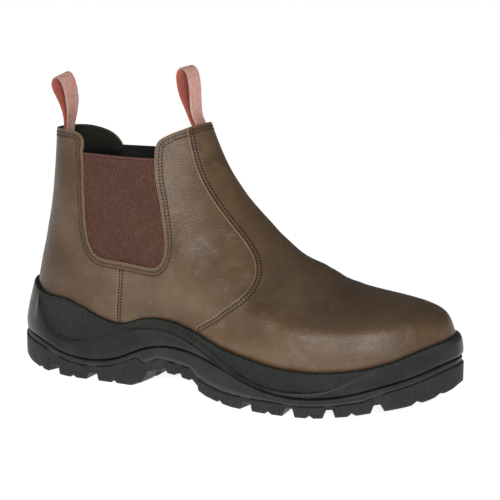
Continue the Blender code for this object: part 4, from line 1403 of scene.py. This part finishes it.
# Outsole: rings from the middle of the tread, round each lug and over the ledge, to the
# seat; grooves draw the rings inwards and lift the tread.
def outsoleGrid():
    x, onLug, raised = lugColumns()
    angle = bothSides(np.arccos(np.clip(1 - 2 * x / sole["length"], -1, 1)))
    mirror = np.concatenate([np.arange(len(x)), np.arange(1, len(x) - 1)[::-1]])
    x, onLug, raised = x[mirror], onLug[mirror], raised[mirror]
    rows = np.array(sole["tread"], float)
    tread = np.interp(x, rows[:, 0], rows[:, 1])
    foot = tread + raised
    groove, seat = lineHeight(sole["groove"], x), lineHeight(sole["seat"], x)
    ledge = tread + np.minimum(outsole["ledge"], 0.62 * (groove - tread))
    # at heel and toe the ledge keeps a set height under the groove
    ends = np.maximum(ease(x, 114, 104), ease(x, 262, 272))
    ledge = ledge + np.maximum(groove - outsole["underGroove"] - ledge, 0) * ends
    hollow = tread + np.where(tread > 9, 1.5, 4.6)
    proud = outsole["proud"] * (1 - onLug)
    reach, channel = outsole["reach"], outsole["channel"]
    rings = (  # inset, height, stipple mark
        (reach + channel, foot, 0.0), (reach + channel - 1.2, hollow, 0.0),
        (reach + 1.2, hollow, 0.0), (reach, foot, 0.0), (1.0 + proud, foot, 0.0),
        (proud, foot + 1.0, 0.8), (proud, np.maximum(ledge - 0.4, foot + 1.3), 0.8),
        # the mark of -0.9 puts a painted highlight along the ledge's edge
        (outsole["proud"], np.maximum(ledge + 0.4, foot + 1.7), -0.9),
        (0.9, groove - 0.9, 0.0), (2.2, groove - 0.2, 0.0), (3.4, groove - 0.2, 0.0),
        (4.6, seat - 0.2, 0.0))
    keys = [ringOf(solePoint(angle, inset), z, mark) for inset, z, mark in rings]
    return roundProfile(keys, outsole["radii"], outsole["longest"])


grid = outsoleGrid()
makeRings("outsoleTread", grid, mouldMaterial("treadRubber", outsole), "outsole",
          {"stipple": grid[..., 3].ravel()})
print("stage: outsole", grid.shape)


# Insole.
insole = {
    "thick": 4.0, "columns": 120, "bump": (0.8, 0.0003),
    "colour": (0.030, 0.033, 0.030, 1), "pale": (0.060, 0.064, 0.058, 1),
}


def insoleMaterial():
    material, tree, shader = startMaterial("footbedFelt", 0.95)
    where = objectPlace(tree)
    fuzz = noise(tree, where, 1.1, 5.0, 0.7)
    colour = mixColours(tree, ramp(tree, fuzz, 0.35, 0.7), insole["colour"], insole["pale"])
    colourAndBump(tree, shader, colour, fuzz, *insole["bump"])
    return material


angle = bothSides(np.linspace(0, np.pi, insole["columns"]))
keys = []
# level of the last, inset from the upper, height over the last's lowest row
for at, inset, lift in ((0.0, 0.9, 0.1), (0.2, 1.3, insole["thick"] - 0.6),
                        (0.2, 2.4, insole["thick"])):
    edge = lastSurface(angle, at) - lastNormal(angle, angle * 0 + at) * (collar["wall"] + inset)
    keys.append(ringOf(edge[:, :2], lastSurface(angle, 0.0)[:, 2] + lift))
grid = roundProfile(keys, [0, 0.6, 0], 1.2)
makeRings("footbed", grid, insoleMaterial(), "insole")
print("stage: footbed", grid.shape)


# Pull loops.
loops = {
    # curl across, height of the collar there, share of the width at the foot, lean of the
    # top, and x and z of the path
    "rear": {"bend": 0.030, "baseZ": 163.0, "foot": 0.62, "lean": 0.22, "path": (
        (28.95, 149.0), (29.4, 156.0), (30.1, 163.0), (30.5, 169.5), (29.3, 176.5), (27.0, 182.3),
        (24.6, 187.0), (23.6, 191.4), (24.5, 194.8), (27.2, 196.2), (30.4, 193.9), (32.7, 188.8),
        (34.1, 182.0), (34.3, 175.0), (33.3, 168.6), (32.2, 163.8), (31.5, 158.5), (31.1, 153.5),
        (30.8, 149.0))},
    "front": {"bend": -0.044, "baseZ": 161.0, "foot": 0.78, "lean": 0.07, "path": (
        (139.1, 151.3), (136.1, 157.8), (131.4, 164.4), (127.2, 171.2), (123.7, 179.5), (121.0, 185.5),
        (119.3, 191.5), (118.5, 197.0), (118.8, 201.0), (121.0, 203.7), (124.2, 202.8), (126.5, 198.3),
        (127.6, 191.5), (128.0, 183.5), (128.5, 176.5), (130.3, 170.9), (133.9, 165.6), (137.9, 158.9),
        (140.9, 152.3))},
    "width": 16.5, "rise": 18.0, "thick": 1.5, "stations": 220, "across": 15,
    "warp": 0.0008, "weft": 0.0011,  # metres, as the map is
    "bump": (0.8, 0.00028),  # strength, depth in metres
    "coral": (0.86, 0.270, 0.150, 1), "heather": (0.72, 0.50, 0.46, 1),
    "inside": (0.52, 0.085, 0.040, 1), "selvedge": (0.60, 0.53, 0.51, 1),
    # painted shade between the threads
    "shadeBetweenThreads": (0.36, 0.12, 0.09, 1),
}


def tapeMaterial():
    material, tree, shader = startMaterial("heatherTape", 0.85)
    chart = addNode(tree, "ShaderNodeUVMap", uv_map="UVMap").outputs[0]
    weave = useGroup(tree, threadWeave, Map=chart, Warp=loops["warp"], Weft=loops["weft"])
    mapped = addNode(tree, "ShaderNodeMapping",
                     {"Vector": chart, "Scale": (1.0, 0.35, 1.0)}).outputs[0]
    streak = noise(tree, mapped, 2.2, 4.0, 0.6)
    heather = plus(tree, times(tree, weave["Fleck"], 0.45), times(tree, streak, 0.55))
    colour = mixColours(tree, ramp(tree, heather, 0.3, 0.62), loops["coral"], loops["heather"])
    side = calc(tree, "ABSOLUTE", attribute(tree, "across"))
    edge = ramp(tree, side, 0.80, 0.97)
    colour = mixColours(tree, times(tree, edge, 0.6), colour, loops["selvedge"])
    # Painted shade: darker between the threads, where the weave is low.
    between = ramp(tree, weave["Over"], 0.0, 1.0, 0.35, 0.0)
    colour = mixColours(tree, between, colour, loops["shadeBetweenThreads"])
    inside = times(tree, attribute(tree, "inside"), 0.9)
    colour = mixColours(tree, inside, colour, loops["inside"])
    colourAndBump(tree, shader, colour, weave["Height"], *loops["bump"])
    shader.inputs["Sheen Weight"].default_value = 0.2
    return material


heatherTape = tapeMaterial()


# Folded tape: a flat oval carried along the path. Near its foot it is narrower and curled
# across by the bend times y squared, to follow the collar; its top leans by a share of y.
def makeLoop(name, node, recipe):
    path = rounded(recipe["path"], loops["stations"])
    out = leftOf(unit(np.gradient(path, axis=0)))
    run = lengthAlong(path)
    above = path[:, 1] - recipe["baseZ"]
    curl = recipe["bend"] * (1 - np.clip(above / 14.0, 0, 1)) ** 2
    wide = recipe["foot"] + (1 - recipe["foot"]) * np.clip(above / loops["rise"], 0, 1)
    tilt = recipe["lean"] * np.clip((above - 18) / 16, 0, 1)
    t = np.linspace(-1, 1, loops["across"])
    y = wide[:, None] * np.concatenate([t, t[::-1]]) * loops["width"] / 2
    full = (1 - np.abs(t) ** 8) ** 0.5 * 0.5 * loops["thick"] * (0.93 + 0.07 * np.cos(t * 9))
    thick = np.concatenate([-full, full[::-1]])
    inside = np.concatenate([np.ones(len(t)), np.zeros(len(t))])
    x = path[:, :1] + out[:, :1] * thick + curl[:, None] * y ** 2
    z = path[:, 1:] + out[:, 1:] * thick + tilt[:, None] * y
    grid = np.stack([x, y, z], -1)
    count = y.shape[1]
    points = grid.reshape(-1, 3)
    ring = np.arange(count)
    closing = np.vstack([ring[::-1], ring + (len(path) - 1) * count])
    groups = facesOutwards(points, [gridFaces(len(path), count, wrap=True), closing])
    uv = np.stack([y, np.broadcast_to(run[:, None], x.shape)], -1).reshape(-1, 2)
    side = np.tile(np.concatenate([t, t[::-1]]), len(path))
    makePiece(name, points, groups, heatherTape, node,
              {"across": side, "inside": np.tile(inside, len(path))}, uv * 0.001)


makeLoop("pullLoopRear", "pull_loop_rear", loops["rear"])
makeLoop("pullLoopFront", "pull_loop_front", loops["front"])
print("stage: pull loops")


# Floor, light, camera.
studio = {
    "floor": (0.93, 0.93, 0.93, 1), "floorLow": (0.92, 0.92, 0.92, 1), "glow": 0.85,
    "floorHalf": 4, "floorZ": -0.0003, "world": 0.16,
    # degrees, millimetres, focal length and width of the picture in pixels
    "azimuth": 25.91, "elevation": 10.86, "distance": 919.0, "focal": 1419.0, "picture": 500.0,
    "lookAt": (150.0, 0.0, 86.95), "aside": 15.11, "sensor": 36.0,
    "aim": (0.0, 0.0, 0.07),  # where the lights point
    "lights": (  # name, place in metres, size, watts
        ("overhead", (0.05, -0.1, 1.3), (1.0, 0.7), 0.8),
        ("frontRight", (0.8, -1.15, 0.45), (0.45, 0.4), 8.0),
        ("front", (0.0, -1.25, 0.50), (0.32, 0.32), 5.0),
        ("frontLeft", (-0.9, -1.0, 0.5), (0.6, 0.6), 0.4),
    ),
}


def floorMaterial():
    material, tree, shader = startMaterial("paleFloor", 0.9)
    tone = ramp(tree, noise(tree, objectPlace(tree), 400.0, 2.0), 0.2, 0.8)
    colour = mixColours(tree, tone, studio["floorLow"], studio["floor"])
    tree.links.new(colour, shader.inputs["Base Color"])
    shader.inputs["Emission Color"].default_value = (1, 1, 1, 1)
    shader.inputs["Emission Strength"].default_value = studio["glow"]
    return material


floorMesh = bpy.data.meshes.new("floor")
half, floorZ = studio["floorHalf"], studio["floorZ"]
corners = ((-1, -1), (1, -1), (1, 1), (-1, 1))
floorMesh.from_pydata([(x * half, y * half, floorZ) for x, y in corners], [], [(0, 1, 2, 3)])
floorMesh.materials.append(floorMaterial())
floor = bpy.data.objects.new("floor", floorMesh)
bpy.context.scene.collection.objects.link(floor)

world = bpy.data.worlds.new("studio")
bpy.context.scene.world = world
world.use_nodes = True
tree = world.node_tree
soft = tree.nodes["Background"]  # what lights the boot
soft.inputs[0].default_value = (1, 1, 1, 1)
soft.inputs[1].default_value = studio["world"]
plain = addNode(tree, "ShaderNodeBackground", {0: (1, 1, 1, 1), 1: 1.0})  # what the camera sees
seen = addNode(tree, "ShaderNodeLightPath").outputs["Is Camera Ray"]
both = addNode(tree, "ShaderNodeMixShader", {0: seen, 1: soft.outputs[0], 2: plain.outputs[0]})
tree.links.new(both.outputs[0], tree.nodes["World Output"].inputs["Surface"])


def areaLight(name, where, size, power):
    data = bpy.data.lights.new(name, "AREA")
    data.shape = "RECTANGLE"
    data.size, data.size_y = size
    data.energy = power
    lamp = bpy.data.objects.new(name, data)
    lamp.location = where
    aim = np.array(studio["aim"]) - np.array(where)
    lamp.rotation_euler = Vector(aim).to_track_quat("-Z", "Y").to_euler()
    bpy.context.scene.collection.objects.link(lamp)


for light in studio["lights"]:
    areaLight(*light)


# The camera stands back along its own axis from the point it looks at, a little aside.
def makeCamera():
    a, e = math.radians(studio["azimuth"]), math.radians(studio["elevation"])
    back = np.array([math.sin(a) * math.cos(e), -math.cos(a) * math.cos(e), math.sin(e)])
    right = np.array([math.cos(a), math.sin(a), 0.0])
    up = np.cross(back, right)
    spot = np.array(studio["lookAt"]) + right * studio["aside"] + back * studio["distance"]
    spot = place(spot)
    data = bpy.data.cameras.new("camera")
    data.sensor_width = studio["sensor"]
    data.lens = studio["sensor"] * studio["focal"] / studio["picture"]
    data.clip_start, data.clip_end = 0.05, 20.0
    camera = bpy.data.objects.new("camera", data)
    matrix = np.eye(4)
    matrix[:3, 0], matrix[:3, 1], matrix[:3, 2], matrix[:3, 3] = right, up, back, spot
    camera.matrix_world = Matrix(matrix.tolist())
    bpy.context.scene.collection.objects.link(camera)
    bpy.context.scene.camera = camera


makeCamera()
bpy.context.scene.view_settings.view_transform = "Standard"
print("stage: studio")
